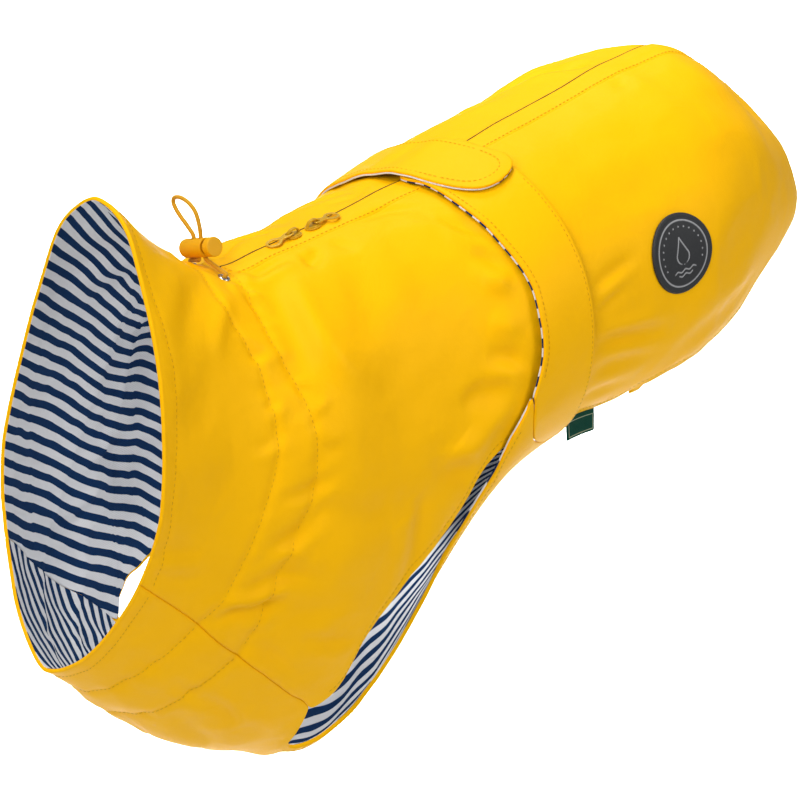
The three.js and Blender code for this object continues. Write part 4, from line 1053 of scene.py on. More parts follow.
def bib_piece(name, node, under, rows, n, inset, material, slot, stripe=None, lining=False):
    qn, qf = pchip(BIB_EDGE[1], rows), pchip(BIB_EDGE[-1], rows)
    gn, gf, rn, rf = qn * run_at(rows), qf * run_at(rows, -1), run_at(rows), run_at(rows, -1)
    i_near = i_far = np.zeros(rows.shape)
    if inset:
        i_near = .25 + .25 * smooth(rows, 3.0, 3.17) - .95 * smooth(rows, 4.95, 5.3) + .70 * smooth(rows, 5.95, 6.02)
        i_far = .25 + (inset - .25) * smooth(rows, 2.28, 2.42)
    width = (rn - gn) + (rf - gf) - i_near - i_far
    near = [0, .15, .4, 1.2, 2.6] if lining else NEAR_EDGE
    s = across(width, n, near, near) + i_near[:, None]
    u = np.broadcast_to(rows[:, None], s.shape)
    g = gn[:, None] + s
    q = np.where(g <= rn[:, None], g / rn[:, None], 1 + (g - rn[:, None]) / rf[:, None])
    drop = pchip(BIB_DROP, u)
    rim, rear = sample(ALONG, u, q) - sample(ALONG, np.full(u.shape, rows[0]), q), sample(ALONG, np.full(u.shape, rows[-1]), q) - sample(ALONG, u, q)
    a, b = s - i_near[:, None], (width + i_near)[:, None] - s
    if lining:
        d = np.minimum(np.minimum(rim, rear), np.minimum(a, b))
        t = np.interp(d, [0, .15, .4], [.3, .76, 1.0])
        mid = -1.5 - LINING / 2 + drop
        return cloth_object(name, u, q, mid + t * LINING / 2, mid - t * LINING / 2, material, slot, stripe=stripe, node=node)
    outer, inner = edge_lift(["free", "free"], [rim, rear])
    for dist, leg in ((a, 3.17), (b, 2.40)):
        free = smooth(u, leg, leg + .12) * (1 - smooth(u, 5.97, 6.04))
        of, jf = edge_lift(["free"], [dist])
        os, js = edge_lift(["seam"], [dist])
        outer, inner = np.minimum(outer, of * free + os * (1 - free)), np.minimum(inner, jf * free + js * (1 - free))
    return cloth_object(name, u, q, outer + drop, inner + drop, material, slot, edge=np.minimum(np.minimum(rim, rear), np.minimum(a, b)), node=node)


bib = bib_piece("chest_panel", "chest_bib", 0, bib_rows(.046), 78, 0, YELLOW, "coated_cloth")
rows = np.concatenate([[.009, .012, .017, .026, .045], np.arange(.08, 3.19, .062), np.arange(3.19, 3.40, .02), np.arange(3.40, 6.88, .062), [6.92, 6.935, 6.945, 6.952, 6.956, 6.96]])
bib_inside = bib_piece("chest_panel_inside", "chest_bib_lining", 1.5, rows, 58, 1.9, STRIPES, "striped_lining", chest_stripe, True)


# ------------------------------------------------------------------ band wings
def near_wing(name, node, lift, thick, material, slot, nose, lining=False):
    a = np.concatenate([[0, .003, .008, .015, .025, .04, .06, .08], np.linspace(.10, .90, 26), [.92, .94, .96, .975, .985, .992, .997, 1]])
    us = BAND_FRONT + (BAND_REAR - BAND_FRONT) * a
    q_end = pchip(BIB_EDGE[1], us)
    b = np.concatenate([[0, .002, .005, .01], np.linspace(.02, .975, 130), [.985, .992, .996, .998, 1]])
    q = -.012 + (q_end[:, None] + .012 - (.5 / 300)) * b[None]
    front = pchip(WING_FRONT, q)
    f = a[:, None]
    blend = smooth(b, .975, 1)[None]
    u = (front * (1 - blend) + BAND_FRONT * blend) * (1 - f) + BAND_REAR * f
    u = u - nose * smooth(q, .075, .135) / sample(PER_U, u, q) * (1 - f) * (1 - blend)
    wide = (sample(ALONG, np.full(u.shape, BAND_REAR), q) - sample(ALONG, u[:1] + 0 * u, q))
    e1, e2 = f * wide, (1 - f) * wide
    e3 = (1 - b)[None] * (q_end[:, None] + .012) * 300
    rise = pchip(WING_LIFT, q) * (1 - f) ** 1.3
    ripple = .45 * noise(np.stack([girth_at(u, q), 6 * f + 0 * u, 0 * u], -1), 17, 33) * (1 - f) ** 1.2 * (1 - blend)
    base = lift + rise + ripple * (1 - smooth(np.abs(q), .0, .02) * 0)
    if lining:
        d = np.minimum(np.minimum(e1, e2), e3)
        t = np.interp(d, [0, .15, .4], [.3, .76, 1.0])
        mid = base - LINING / 2
        o, i = mid + t * LINING / 2, mid - t * LINING / 2
        return cloth_object(name, u, q, o, i, material, slot, .28, stripe=lambda u, q, al, g: g / 10.3 + .1 * noise1(g / 13, 3), node=node)
    o1, i1 = edge_lift(["free", "free", "seam"], [e1, e2, e3])
    return cloth_object(name, u, q, base + o1, base + np.maximum(i1, -1.45), material, slot, .28, edge=np.minimum(e1, e2), node=node)


def flap_rise(q):
    far = 1 - smooth(q, -.17, -.09)
    low = smooth(q, -.60, -.48)
    return FLAP_RISE * smooth(q, -.08, -.02) - FLAP_SETTLE * low * far - 1.2 * low * (1 - smooth(q, -.17, -.05))


def far_wing(name, node, lift, thick, material, slot, nose, lining=False):
    a = np.concatenate([[0, .004, .01, .02, .035, .05, .07], np.linspace(.09, .91, 28), [.93, .95, .965, .98, .99, .996, 1]])
    us = BAND_FRONT + (BAND_REAR - BAND_FRONT) * a
    q_low = -pchip(BIB_EDGE[-1], us) + .5 / 300
    # lower part, from the seam up to the side, then the flap over the back
    t_low = np.concatenate([[0, .004, .01, .02], np.linspace(.035, 1, 46)])[:, None]
    q1 = q_low[None] * (1 - t_low) + FLAP[0, 0] * t_low
    u1 = us[None] * (1 - t_low) + (FLAP[0, 1] + (FLAP[0, 2] - FLAP[0, 1]) * a[None]) * t_low
    tip = FLAP[-1, 0]
    qs = np.concatenate([np.linspace(FLAP[0, 0], .04, 80)[1:], np.linspace(.04, tip - .012, 40)[1:], tip - np.array([.0095, .007, .005, .0034, .0022, .0012, .0005, 0])])
    qr = np.minimum(qs, FLAP[-1, 0])
    uf, ur = pchip(FLAP[:, [0, 1]], qr), pchip(FLAP[:, [0, 2]], qr)
    corner = smooth(qs, .10, tip)
    q2 = np.repeat(qs[:, None], len(a), 1) - .0016 * corner[:, None] * (2 * a[None] - 1) ** 2
    u2 = uf[:, None] * (1 - a[None]) + ur[:, None] * a[None]
    q, u = np.concatenate([q1, q2]), np.concatenate([u1, u2])
    w = sample(PER_U, u, q)
    u = u - nose / w * (1 - a[None]) * smooth(q, -.55, -.45)
    al = sample(ALONG, u, q)
    e1, e2 = np.abs(al - al[:, :1]), np.abs(al[:, -1:] - al)
    run = girth_at(u, q)
    e3 = np.abs(run[-1:] - run)
    e4 = np.abs(run - run[:1])
    rise = flap_rise(q)
    free = smooth(q, -.05, .06)
    curl = free * (.8 * smooth(q, .06, .14) + .4 * noise(np.stack([run, 9 * a[None] + 0 * u, 0 * u], -1), 13, 44))
    base = lift + rise + curl
    if lining:
        d = np.minimum(np.minimum(e1, e2), np.minimum(e3, e4))
        t = np.interp(d, [0, .15, .4], [.3, .76, 1.0])
        mid = base - LINING / 2
        return cloth_object(name, u, q, mid + t * LINING / 2, mid - t * LINING / 2, material, slot, .28, stripe=lambda u, q, al, g: (al - al[:, :1]) / 10.3 + .03 * noise1(g / 13, 9), node=node)
    o1, i1 = edge_lift(["free", "free", "free", "seam"], [e1, e2, e3, e4])
    return cloth_object(name, u, q, base + o1, base + np.maximum(i1, -1.45), material, slot, .28, edge=np.minimum(np.minimum(e1, e2), e3), node=node)


wing_near = near_wing("band_left", "band_wing_left", LIFT_BAND, SHELL, YELLOW, "coated_cloth", 0)
wing_near_in = near_wing("band_left_inside", "band_wing_left_lining", LIFT_BAND_LINING, LINING, STRIPES, "striped_lining", .55, True)
wing_far = far_wing("band_right", "band_wing_right", LIFT_BAND, SHELL, YELLOW, "coated_cloth", 0)
wing_far_in = far_wing("band_right_inside", "band_wing_right_lining", LIFT_BAND_LINING, LINING, STRIPES, "striped_lining", .35, True)


# ------------------------------------------------------------------ zip placket
ZIP_LINE = [[2.1, .000], [3.0, -.002], [4.1, -.004], [4.5, -.006], [5.1, -.013], [5.8, -.018], [6.4, -.011], [7.05, -.005], [7.45, -.011], [8.05, -.010],
            [8.7, -.013], [9.25, -.017], [9.6, -.019], [10.5, -.014], [12, -.008]]


def placket():
    u1 = np.concatenate([[2.17, 2.175, 2.185, 2.20], np.arange(2.22, 11.9, .05), [11.93, 11.96, 11.98, 12]])
    left = pchip(ZIP_LINE, u1) * run_at(u1)
    wide = 11.5 * (.50 + .50 * smooth(u1, 2.17, 2.42))
    share = np.array([0, .006, .015, .03, .055, .09, .14, .22, .32, .43, .54, .65, .75, .83, .89, .93, .96, .98, 1])
    g = (wide - left)[:, None] * share[None]
    u = np.broadcast_to(u1[:, None], g.shape)
    q = (g + left[:, None]) / run_at(u1)[:, None] + .15 / 300
    fold = np.interp(g, [0, .08, .2, .4, .8, 1.5], [-.62, -.35, -.18, -.06, 0, 0])
    outer = fold + np.interp(share, [0, .5, .84, .93, 1], [1.15, 1.10, .52, .34, .04])[None] * np.ones_like(g)
    along = sample(ALONG, u, q)
    outer += .13 * noise(np.stack([along, g, 0 * g], -1), 9, 61) * np.interp(share, [0, .5, 1], [.5, 1, .2])
    end = smooth(u, 2.17, 2.21)
    outer = outer * (.35 + .65 * end)
    inner = np.minimum(outer - .12, np.maximum(outer - 1.0 + np.interp(g, [0, .3, .8], [.45, .12, 0]), -.25))
    return cloth_object("zip_fold", u, q, outer, inner, YELLOW, "coated_cloth", edge=g + 9 * (g > 2), node="zip_placket")


zip_fold = placket()


def zip_coil():
    """The coil of the zip, coloured dark as painted shade: it stands for the shadow line along the fold."""
    u1 = np.linspace(2.19, 11.97, 1500)
    q1 = (pchip(ZIP_LINE, u1) * run_at(u1) - .40) / run_at(u1)
    side = np.where(q1 < 0, 1.0, 1.0)
    line, n = surface(u1, q1, .60), sample(N, u1, q1)
    line, _ = even(line, .36)
    v, f, a = tube_mesh(line, .46, 12, lambda run, ang: np.clip(np.sin(run / 1.25 * math.tau + ang), 0, 1) * .9)
    o = new_object("zip_coil", v, f, COIL_AND_SHADE, "coat", "coated_cloth", a)
    return o


zip_coil()


# ------------------------------------------------------------------ stitching
STITCH = {"v": [], "f": [], "n": 0}


def stitches(u, q, lift, crease=1.0, pitch=3.1, long=2.15, r=.20, seed=1):
    """A run of single stitches along (u, q), sunk a little in the cloth."""
    u, q = np.asarray(u, float), np.asarray(q, float)
    lift = np.broadcast_to(np.asarray(lift, float), u.shape)
    p = surface(u, q, lift, crease)
    n = sample(N, u, q)
    run = np.concatenate([[0], np.cumsum(np.linalg.norm(np.diff(p, axis=0), axis=1))])
    count = int(run[-1] / pitch)
    if count < 1:
        return
    start = np.arange(count) * pitch + (run[-1] - count * pitch) / 2
    at = start[:, None] + long * np.array([0, .18, .5, .82, 1])[None]
    c = np.stack([np.interp(at, run, p[:, k]) for k in range(3)], -1)
    m = np.stack([np.interp(at, run, n[:, k]) for k in range(3)], -1)
    m /= np.linalg.norm(m, axis=-1, keepdims=True)
    t = np.gradient(c, axis=1)
    t /= np.linalg.norm(t, axis=-1, keepdims=True)
    w = np.cross(t, m)
    k = np.arange(count)
    turn = .10 * hashed(k, k * 0 + 5, k * 0, seed)[:, None, None]
    c = c + w * (turn * (np.array([-1, -.6, 0, .6, 1])[None, :, None]))
    size = r * np.array([.35, .9, 1.0, .9, .35])[None, :, None]
    high = np.array([-.30, .0, .06, .0, -.30])[None, :, None]
    ang = np.linspace(0, math.tau, 6, endpoint=False)
    ring = c[:, :, None] + m[:, :, None] * high[..., None] + size[..., None] * (np.cos(ang)[None, None, :, None] * w[:, :, None] + np.sin(ang)[None, None, :, None] * m[:, :, None] * .75)
    v = ring.reshape(-1, 3)
    base = STITCH["n"] + np.arange(count)[:, None, None] * 30
    i = np.arange(4)[None, :, None] * 6
    j = np.arange(6)[None, None, :]
    nx = (j + 1) % 6
    f = np.stack([base + i + j, base + i + nx, base + i + 6 + nx, base + i + 6 + j], -1).reshape(-1, 4)
    ends = []
    for b in (STITCH["n"] + np.arange(count) * 30):
        ends += [[b + 0, b + 5, b + 4, b + 3], [b + 3, b + 2, b + 1, b + 0], [b + 24, b + 25, b + 26, b + 27], [b + 27, b + 28, b + 29, b + 24]]
    STITCH["v"].append(v)
    STITCH["f"] += [f, np.array(ends)]
    STITCH["n"] += len(v)


def sew(name, host):
    """Joins the stitches made so far into one piece on its host."""
    if not STITCH["v"]:
        return None
    o = new_object(name, np.concatenate(STITCH["v"]), np.concatenate(STITCH["f"]), THREAD, "coat", "coated_cloth")
    STITCH.update(v=[], f=[], n=0)
    SEWN.setdefault(host.name, []).append(o)
    return o


SEWN = {}
TOP = .10
for side, shell in ((1, cape_near), (-1, cape_far)):
    span = lambda a, b: np.linspace(a, b, 400)
    seam_q = lambda u: pchip(CAPE_EDGE[side], u) - 1.2 / 300
    top = .045
    for table, seed in ((CHANNEL_FRONT, 1), (CHANNEL_REAR, 2), (RIM_LINE, 3)):
        q = span(.012 if table is not CHANNEL_FRONT else .012, .80)
        u = pchip(table, q)
        keep = q < pchip(CAPE_EDGE[side], u) - .006
        stitches(u[keep], side * q[keep], TOP, seed=seed)
    u = span(3.40 if side > 0 else 2.62, 11.84)
    e = pchip(CAPE_EDGE[side], u)
    stitches(u, side * (e - 7.0 / run_at(u, side)), TOP, seed=4)
    q = span(.012, .455)
    stitches(12 - 7.0 / np.maximum(sample(PER_U, np.full(q.shape, 11.9), side * q), 20), side * q, TOP, seed=5)
    sew("stitching_left" if side > 0 else "stitching_right", shell)
u = np.linspace(2.24, 11.95, 700)
w = 10.1 / run_at(u)
stitches(u, w + .15 / 300, .62, seed=6)
uu, t = np.linspace(2.185, 2.25, 30), np.linspace(0, 1, 30)
stitches(uu, (.8 + 8.6 * t) / run_at(uu), .9 - .25 * t, seed=7)
sew("stitching_zip", zip_fold)
for side in (1, -1):
    for table, seed in ((CHANNEL_FRONT, 11), (CHANNEL_REAR, 12), (RIM_LINE, 13)):
        q = np.linspace(.66, 1.0, 300)
        u = pchip(table, q)
        keep = q > pchip(BIB_EDGE[side], u) + .006
        stitches(u[keep], np.where(side > 0, q[keep], 2 - q[keep]), TOP, seed=seed + side)
    u = np.linspace(3.45, 5.9, 300)
    e = pchip(BIB_EDGE[side], u) + 7.0 / run_at(u, side)
    stitches(u, e if side > 0 else 2 - e, TOP + pchip(BIB_DROP, u), seed=15 + side)
q = np.linspace(.80, 1.20, 200)
stitches(np.full(q.shape, 6.88), q, TOP + 4.3, seed=17)
sew("stitching_chest", bib)
q = np.linspace(.03, .50, 300)
u = pchip(WING_FRONT, q) + 3.2 / sample(PER_U, np.full(q.shape, 6.1), q)
stitches(u, q, LIFT_BAND + TOP + pchip(WING_LIFT, q) * .92, .28, seed=21)
q = np.linspace(.16, .72, 300)
stitches(BAND_REAR - 2.6 / sample(PER_U, np.full(q.shape, 6.95), q), q, LIFT_BAND + TOP - .02, .28, seed=22)
sew("stitching_band_left", wing_near)
rise = flap_rise
q = np.linspace(-.50, .062, 300)
uf = np.where(q > FLAP[0, 0], pchip(FLAP[:, [0, 1]], q), 6.08 + (q - FLAP[0, 0]) * .77) + 4.6 / sample(PER_U, np.full(q.shape, 6.1), q)
stitches(uf, q, LIFT_BAND + TOP + rise(q), .28, seed=23)
ur = np.where(q > FLAP[0, 0], pchip(FLAP[:, [0, 2]], q), 7.0) - 4.6 / sample(PER_U, np.full(q.shape, 6.9), q)
stitches(ur, q, LIFT_BAND + TOP + rise(q), .28, seed=24)
tipline = spline([(float(uf[-1]), .062), (6.08, .087), (6.20, .106), (6.34, .119), (6.48, .126), (6.65, .129), (6.79, .125), (6.87, .112), (6.885, .092), (float(ur[-1]), .062)], 14)
stitches(tipline[:, 0], tipline[:, 1], LIFT_BAND + TOP + FLAP_RISE + .75 * smooth(tipline[:, 1], .05, .12), .28, seed=25)
sew("stitching_band_right", wing_far)

# ------------------------------------------------------------------ zip sliders and pull tabs
SLIDER_BASE, PIN_Y, PIN_Z, TAB_TILT = 1.6, 1.2, 2.5, math.radians(6)


def extrude(outline, holes, low, high, bevel=.12):
    """Closed plate with holes from outlines in x, y, bevelled."""
    import bmesh
    bm = bmesh.new()
    rings = [outline] + list(holes)
    edges = []
    for ring in rings:
        vs = [bm.verts.new((x, y, low)) for x, y in ring]
        edges += [bm.edges.new((vs[i], vs[(i + 1) % len(vs)])) for i in range(len(vs))]
    bmesh.ops.triangle_fill(bm, use_beauty=True, use_dissolve=False, edges=edges)
    bm.faces.ensure_lookup_table()
    if len(holes):
        from mathutils.geometry import intersect_point_line
        def inside(x, y, ring):
            hit = False
            for (x0, y0), (x1, y1) in zip(ring, ring[1:] + ring[:1]):
                if (y0 > y) != (y1 > y) and x < (x1 - x0) * (y - y0) / (y1 - y0) + x0:
                    hit = not hit
            return hit
        drop = [f for f in bm.faces if any(inside(f.calc_center_median().x, f.calc_center_median().y, list(h)) for h in holes)]
        bmesh.ops.delete(bm, geom=drop, context="FACES_ONLY")
    got = bmesh.ops.extrude_face_region(bm, geom=list(bm.faces))
    for g in got["geom"]:
        if isinstance(g, bmesh.types.BMVert):
            g.co.z = high
    bmesh.ops.recalc_face_normals(bm, faces=list(bm.faces))
    if bevel:
        rim = [e for e in bm.edges if len(e.link_faces) == 2 and e.calc_face_angle(0) > 1.0 and abs(e.verts[0].co.z - e.verts[1].co.z) < 1e-6]
        bmesh.ops.bevel(bm, geom=rim, offset=bevel, segments=3, profile=.6, affect="EDGES", clamp_overlap=True)
    v = np.array([x.co[:] for x in bm.verts])
    f = [[x.index for x in face.verts] for face in bm.faces]
    bm.free()
    return v, f


def join(*parts):
    V, F, n = [], [], 0
    for v, f in parts:
        V.append(np.asarray(v, float))
        F += [[i + n for i in face] for face in f]
        n += len(v)
    return np.concatenate(V), F


def rounded(x0, x1, y0, y1, r, steps=5):
    out = []
    for cx, cy, a0 in ((x1 - r, y0 + r, -90), (x1 - r, y1 - r, 0), (x0 + r, y1 - r, 90), (x0 + r, y0 + r, 180)):
        for k in range(steps):
            a = math.radians(a0 + 90 * k / (steps - 1))
            out.append((cx + r * math.cos(a), cy + r * math.sin(a)))
    return out


def slider_parts():
    # plan narrows to the neck; a raised bridge arches from nose to tail
    body = []
    for k in range(48):
        a = math.tau * k / 48
        x, y = math.cos(a), math.sin(a)
        w = 3.5 * (1 - .22 * max(-y, 0) ** 1.2)
        body.append((w * np.sign(x) * abs(x) ** .62, -.5 + 4.5 * np.sign(y) * abs(y) ** .62))
    base = extrude(body, [], 0.05, .75, .18)
    top = extrude([(x * .84, -.5 + (y + .5) * .88) for x, y in body], [], .70, 1.4, .25)
    arch = []
    line = spline([(0, -3.9, 1.1), (0, -3.7, 2.2), (0, -2.9, 3.5), (0, -1.2, 4.15), (0, .8, 4.15), (0, 2.5, 3.6), (0, 3.3, 2.4), (0, 3.4, 1.1)], 7)
    t = np.gradient(line, axis=0)
    t /= np.linalg.norm(t, axis=1, keepdims=True)
    x = np.array([1.0, 0, 0])
    n = np.cross(x, t)
    prof = [(-.85, -.22), (-.7, -.42), (.7, -.42), (.85, -.22), (.85, .22), (.7, .42), (-.7, .42), (-.85, .22)]
    V = np.array([[line[k] + x * a * (1 + .25 * math.sin(math.pi * k / (len(line) - 1))) + n[k] * b for a, b in prof] for k in range(len(line))])
    R, C = V.shape[:2]
    idx = np.arange(R * C).reshape(R, C)
    nx = np.roll(idx, -1, 1)
    f = np.stack([idx[:-1].ravel(), nx[:-1].ravel(), nx[1:].ravel(), idx[1:].ravel()], 1).tolist() + [idx[0][::-1].tolist(), idx[-1].tolist()]
    return join(base, top, (V.reshape(-1, 3), f))


def tab_parts():
    # hinge eye, waisted plate, then a long open ring
    L, short = 19.0, 10.8 / 12.8
    def outline(pts):
        return [(float(x), float(y if y < 6.2 else 6.2 + (y - 6.2) * short)) for x, y in spline(pts + pts[:1], 6)[:-1]]
    half = [(0, -.55), (1.6, -.5), (2.25, .1), (2.3, 1.6), (2.3, 3.2), (2.05, 4.6), (1.55, 6.2), (1.75, 7.6), (2.7, 9.2), (3.7, 11.0), (4.15, 13.0), (4.0, 15.4), (3.2, 17.4), (1.8, 18.6), (0, L)]
    out = half + [(-x, y) for x, y in half[-2:0:-1]]
    eye_hole = [(0, .55), (.95, .6), (1.3, .95), (1.3, 2.0), (1.25, 3.1), (.9, 3.5), (0, 3.6)]
    eye_hole = eye_hole + [(-x, y) for x, y in eye_hole[-2:0:-1]]
    ring_hole = [(0, 9.6), (1.0, 10.2), (1.9, 11.4), (2.4, 13.0), (2.35, 15.0), (1.7, 16.5), (.8, 17.2), (0, 17.35)]
    ring_hole = ring_hole + [(-x, y) for x, y in ring_hole[-2:0:-1]]
    plate = extrude(outline(out), [outline(eye_hole), outline(ring_hole)], -.42, .42, .26)
    ridge = [(0, 3.9), (.75, 4.6), (.62, 6.2), (.9, 7.8), (0, 9.3)]
    ridge = ridge + [(-x, y) for x, y in ridge[-2:0:-1]]
    return join(plate, extrude(outline(ridge), [], .38, .66, .12))


for name, u0, to in (("front", 3.52, -1), ("rear", 3.86, 1)):
    o, n, a, _ = frame_at(u0, .006)
    y = a * to
    x = np.cross(y, n)
    M = np.stack([x, y, n], 1)
    base = o + n * SLIDER_BASE
    v, f = slider_parts()
    s = new_object("slider_" + name, np.asarray(v) @ M.T + base, f, PAINT, "coat", "zip_metal")
    auto_sharp(s, 40)
    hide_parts("zip_slider_" + name)
    v, f = tab_parts()
    v = np.asarray(v)
    c, d = math.cos(-TAB_TILT), math.sin(-TAB_TILT)
    v = np.stack([v[:, 0], v[:, 1] * c - v[:, 2] * d + PIN_Y, v[:, 1] * d + v[:, 2] * c + PIN_Z], 1)
    t = new_object("tab_" + name, v @ M.T + base, f, PAINT, "pull_tab_" + name, "zip_metal")
    auto_sharp(t, 40)
    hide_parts("pull_tab_" + name)


# ------------------------------------------------------------------ badge: generic raindrop over ripples, in a ring
def badge():
    o, n, a, c = frame_at(8.16, .426)
    R, A = 64, 200
    rr = np.concatenate([np.linspace(0, 22.5, R)])[:, None]
    th = np.linspace(0, math.tau, A, endpoint=False)[None]
    X, Y = rr * np.cos(th), rr * np.sin(th)
    u, q = np.full(X.shape, 8.16), np.full(X.shape, .426)
    for _ in range(7):
        p = sample(P, u, q) - o
        ex, ey = X - p @ a, Y - p @ c
        pu, pq = (sample(P, u + .02, q) - sample(P, u - .02, q)) * 25, (sample(P, u, q + .004) - sample(P, u, q - .004)) * 125
        a_, b_, c_, d_ = pu @ a, pq @ a, pu @ c, pq @ c
        det = a_ * d_ - b_ * c_
        u, q = u + (ex * d_ - b_ * ey) / det, q + (a_ * ey - c_ * ex) / det
    # picture axes: up is towards the back line
    px, py = X, Y * -1
    up, side = -(Y), X
    r = np.hypot(X, Y)
    ink = np.exp(-((r - 18.3) / .42) ** 4)
    drop_r = np.hypot(side, (up - 1.0))
    k = np.clip((up + 1.0) / 11.5, 0, 1)
    half = 4.6 * np.sqrt(np.clip(1 - ((up + 1.4) / 4.6) ** 2, 0, 1)) * (up < -.2) + (up >= -.2) * 4.45 * (1 - np.clip((up + .2) / 9.6, 0, 1)) ** 1.12
    dist = np.abs(side) - half
    ink = np.maximum(ink, np.exp(-(dist / .42) ** 4) * (up > -6.2) * (up < 9.6))
    for y0, w in ((-9.4, 8.6), (-11.9, 5.6)):
        ink = np.maximum(ink, np.exp(-((up - y0 - .55 * np.cos(side * 1.05)) / .38) ** 4) * (1 - smooth(np.abs(side), w - .6, w)))
    ang = np.arctan2(up, side)
    dots = np.abs(np.mod(ang / math.tau * 24, 1) - .5) * 2 * math.pi * 14.9 / 24
    ink = np.maximum(ink, (1 - smooth(np.hypot(dots, r - 14.9), .32, .62)) * (up > -6.5))
    lift = .6 + 1.35 + .22 * ink + .25 * (smooth(r, 19.9, 20.7) * (1 - smooth(r, 21.9, 22.5) * 2.2)) - .18 * smooth(r, 17.2, 17.6) * 0
    lift = lift - .35 * smooth(r, 22.1, 22.5)
    top, low = surface(u, q, lift, .1), surface(u, q, np.full(u.shape, .55), .1)
    # wrap the polar grid: first column again at the end, centre ring joined
    v = np.concatenate([top.reshape(-1, 3), low.reshape(-1, 3)])
    k = np.arange(R * A).reshape(R, A)
    m, nx = k + R * A, np.roll(k, -1, 1)
    quad = lambda p, q_, r_, s: np.stack([p.ravel(), q_.ravel(), r_.ravel(), s.ravel()], 1)
    f = [quad(k[1:-1], k[2:], nx[2:], nx[1:-1]), quad(m[1:-1], (nx + R * A)[1:-1], (nx + R * A)[2:], m[2:]), quad(k[-1], m[-1], (nx + R * A)[-1], nx[-1])]
    f = np.concatenate(f).tolist()
    f += [[int(k[0, 0]), int(k[1, j]), int(nx[1, j])] for j in range(A)] + [[int(m[0, 0]), int(nx[1, j] + R * A), int(m[1, j])] for j in range(A)]
    used = np.ones(len(v), bool)
    used[k[0, 1:]] = False
    used[m[0, 1:]] = False
    new = np.cumsum(used) - 1
    f = [[int(new[i]) for i in face] for face in f]
    ink2 = np.concatenate([ink.ravel(), np.zeros(R * A)])[used]
    v = v[used]
    vol = 0
    for t in f[::97]:
        pass
    o_ = new_object("round_patch", v, f, RUBBER, "coat", "badge_rubber", {"ink": ink2})
    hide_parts("badge")
    return o_


patch = badge()


def outward(o):
    """Turns a closed mesh's faces outward."""
    import bmesh
    bm = bmesh.new()
    bm.from_mesh(o.data)
    bmesh.ops.recalc_face_normals(bm, faces=list(bm.faces))
    bm.to_mesh(o.data)
    bm.free()


outward(patch)


# ------------------------------------------------------------------ side label and hem nub
def hem_piece(name, node, u0, u1, drop, thick, cols, rows, material, slot, border=0.0, bend=0.0, hang=False):
    c, r = np.linspace(0, 1, cols)[None], np.linspace(0, 1, rows)[:, None]
    u = u0 + (u1 - u0) * c + 0 * r
    qe = pchip(CAPE_EDGE[1], u)
    p, n = surface(u, qe, 0), sample(N, u, qe)
    down = sample(P, u, qe + .01) - sample(P, u, qe)
    down /= np.linalg.norm(down, axis=-1, keepdims=True)
    w = np.linalg.norm(p[0, -1] - p[0, 0])
    wave = bend * np.sin(c * 2.6 + .6) * r ** 1.5
    if hang:
        start = p - down * 1.2 - n * .9
        n = n * np.array([1, 1, 0])
        n /= np.linalg.norm(n, axis=-1, keepdims=True)
        away = (drop + 2.2) * r
        ctr = start + np.array([0, 0, -1.0]) * away[..., None] + n * (-.3 + .5 * r + wave)[..., None]
    else:
        ctr = p + down * ((-1.4 + (drop + 2.2) * r))[..., None] + n * (-1.0 + .5 * r + wave)[..., None]
    e = np.minimum(np.minimum(c, 1 - c) * w, (1 - r) * (drop + 2.2) + 0 * c)
    h = thick / 2 * np.sqrt(np.clip(1 - (1 - np.clip(e / (thick * .6), 0, 1)) ** 2, .04, 1))
    split = .12 * smooth(r, .2, .6) * (1 - smooth(r, .85, 1))
    v, f = wall(ctr + n * h[..., None], ctr - n * h[..., None])
    lay = np.stack([c * w + 0 * r, r * (drop + 2.2) + 0 * c, 0 * c + 0 * r], -1).reshape(-1, 3) * MM
    ink = np.zeros(e.shape)
    if border:
        top = r * (drop + 2.2) - 2.2
        d = np.minimum(e, np.where(top > 0, top, 0))
        ink = (smooth(d, border - .22, border - .1) * (1 - smooth(d, border + .22, border + .34)))
    o = new_object(name, v, f, material, "coat", slot, {"lay": np.concatenate([lay, lay]), "ink": np.concatenate([ink.ravel(), ink.ravel()]), "edge": np.full(2 * ink.size, .009)})
    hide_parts(node)
    return o


label = hem_piece("side_tag", "side_label", 7.17, 7.63, 12.5, 1.3, 90, 70, LABEL, "label_cloth", 1.7, .7, True)
nub = hem_piece("hem_fold", "hem_nub", 8.12, 8.26, 4.0, 1.9, 14, 16, YELLOW, "coated_cloth", 0, .3)

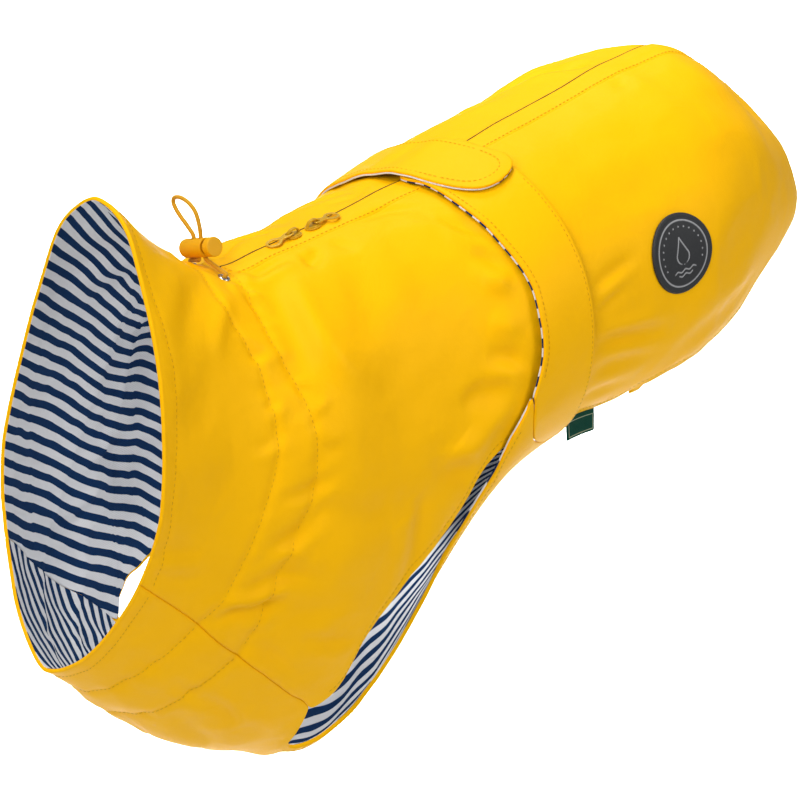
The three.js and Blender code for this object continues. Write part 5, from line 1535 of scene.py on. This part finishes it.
# ------------------------------------------------------------------ floor, light
FLOOR = -.85
floor_mesh = bpy.data.meshes.new("floor")
floor_mesh.from_pydata([(-7, -7, FLOOR), (7, -7, FLOOR), (7, 7, FLOOR), (-7, 7, FLOOR)], [], [(0, 1, 2, 3)])
floor = bpy.data.objects.new("floor", floor_mesh)
bpy.context.scene.collection.objects.link(floor)
m = Nodes("floor")
floor_mesh.materials.append(m.set(Base_Color=m.mix(m.noise(m.coords(), 1.5, 2, .5), (.79, .79, .79), (.81, .81, .81)), Roughness=.9, Specular_IOR_Level=.1))

world = bpy.data.worlds.new("world")
world.use_nodes = True
world.node_tree.nodes["Background"].inputs[0].default_value = (1, 1, 1, 1)
world.node_tree.nodes["Background"].inputs[1].default_value = .29
bpy.context.scene.world = world


def area_light(name, place, at, size, power, colour=(1, 1, 1)):
    light = bpy.data.lights.new(name, "AREA")
    light.shape, light.size, light.size_y, light.energy, light.color = "RECTANGLE", size[0], size[1], power, colour
    o = bpy.data.objects.new(name, light)
    o.location = place
    o.rotation_euler = (Vector(at) - Vector(place)).to_track_quat("-Z", "Y").to_euler()
    bpy.context.scene.collection.objects.link(o)
    return o


area_light("key", (-.25, -.75, 2.15), (0, .15, -.1), (1.1, 1.1), 32, (1, .99, .97))
area_light("front", (.9, -1.9, 1.40), (0, .08, -.10), (1.1, 1.1), 32, (1, .99, .98))
area_light("side", (2.0, .95, .85), (0, .30, -.05), (.9, .9), 16, (1, .99, .98))
area_light("neck_fill", (.046, -.020, -.120), (-1, -.10, -.10), (.10, .15), .085)
area_light("bib_fill", (.010, .075, -.165), (.012, .060, -1), (.07, .09), .070)
for k, (place, power) in enumerate((((-1.0, .95, .95), 46), ((-2.1, 2.0, 1.1), 60), ((-3.3, 3.2, 1.3), 80))):
    area_light("backdrop_%d" % k, place, (place[0], place[1] + .001, FLOOR), (1.3, 1.3), power).data.spread = math.radians(84)

scene = bpy.context.scene
scene.view_settings.view_transform = "Standard"
scene.view_settings.look = "None"
scene.view_settings.exposure = 0
scene.view_settings.gamma = 1
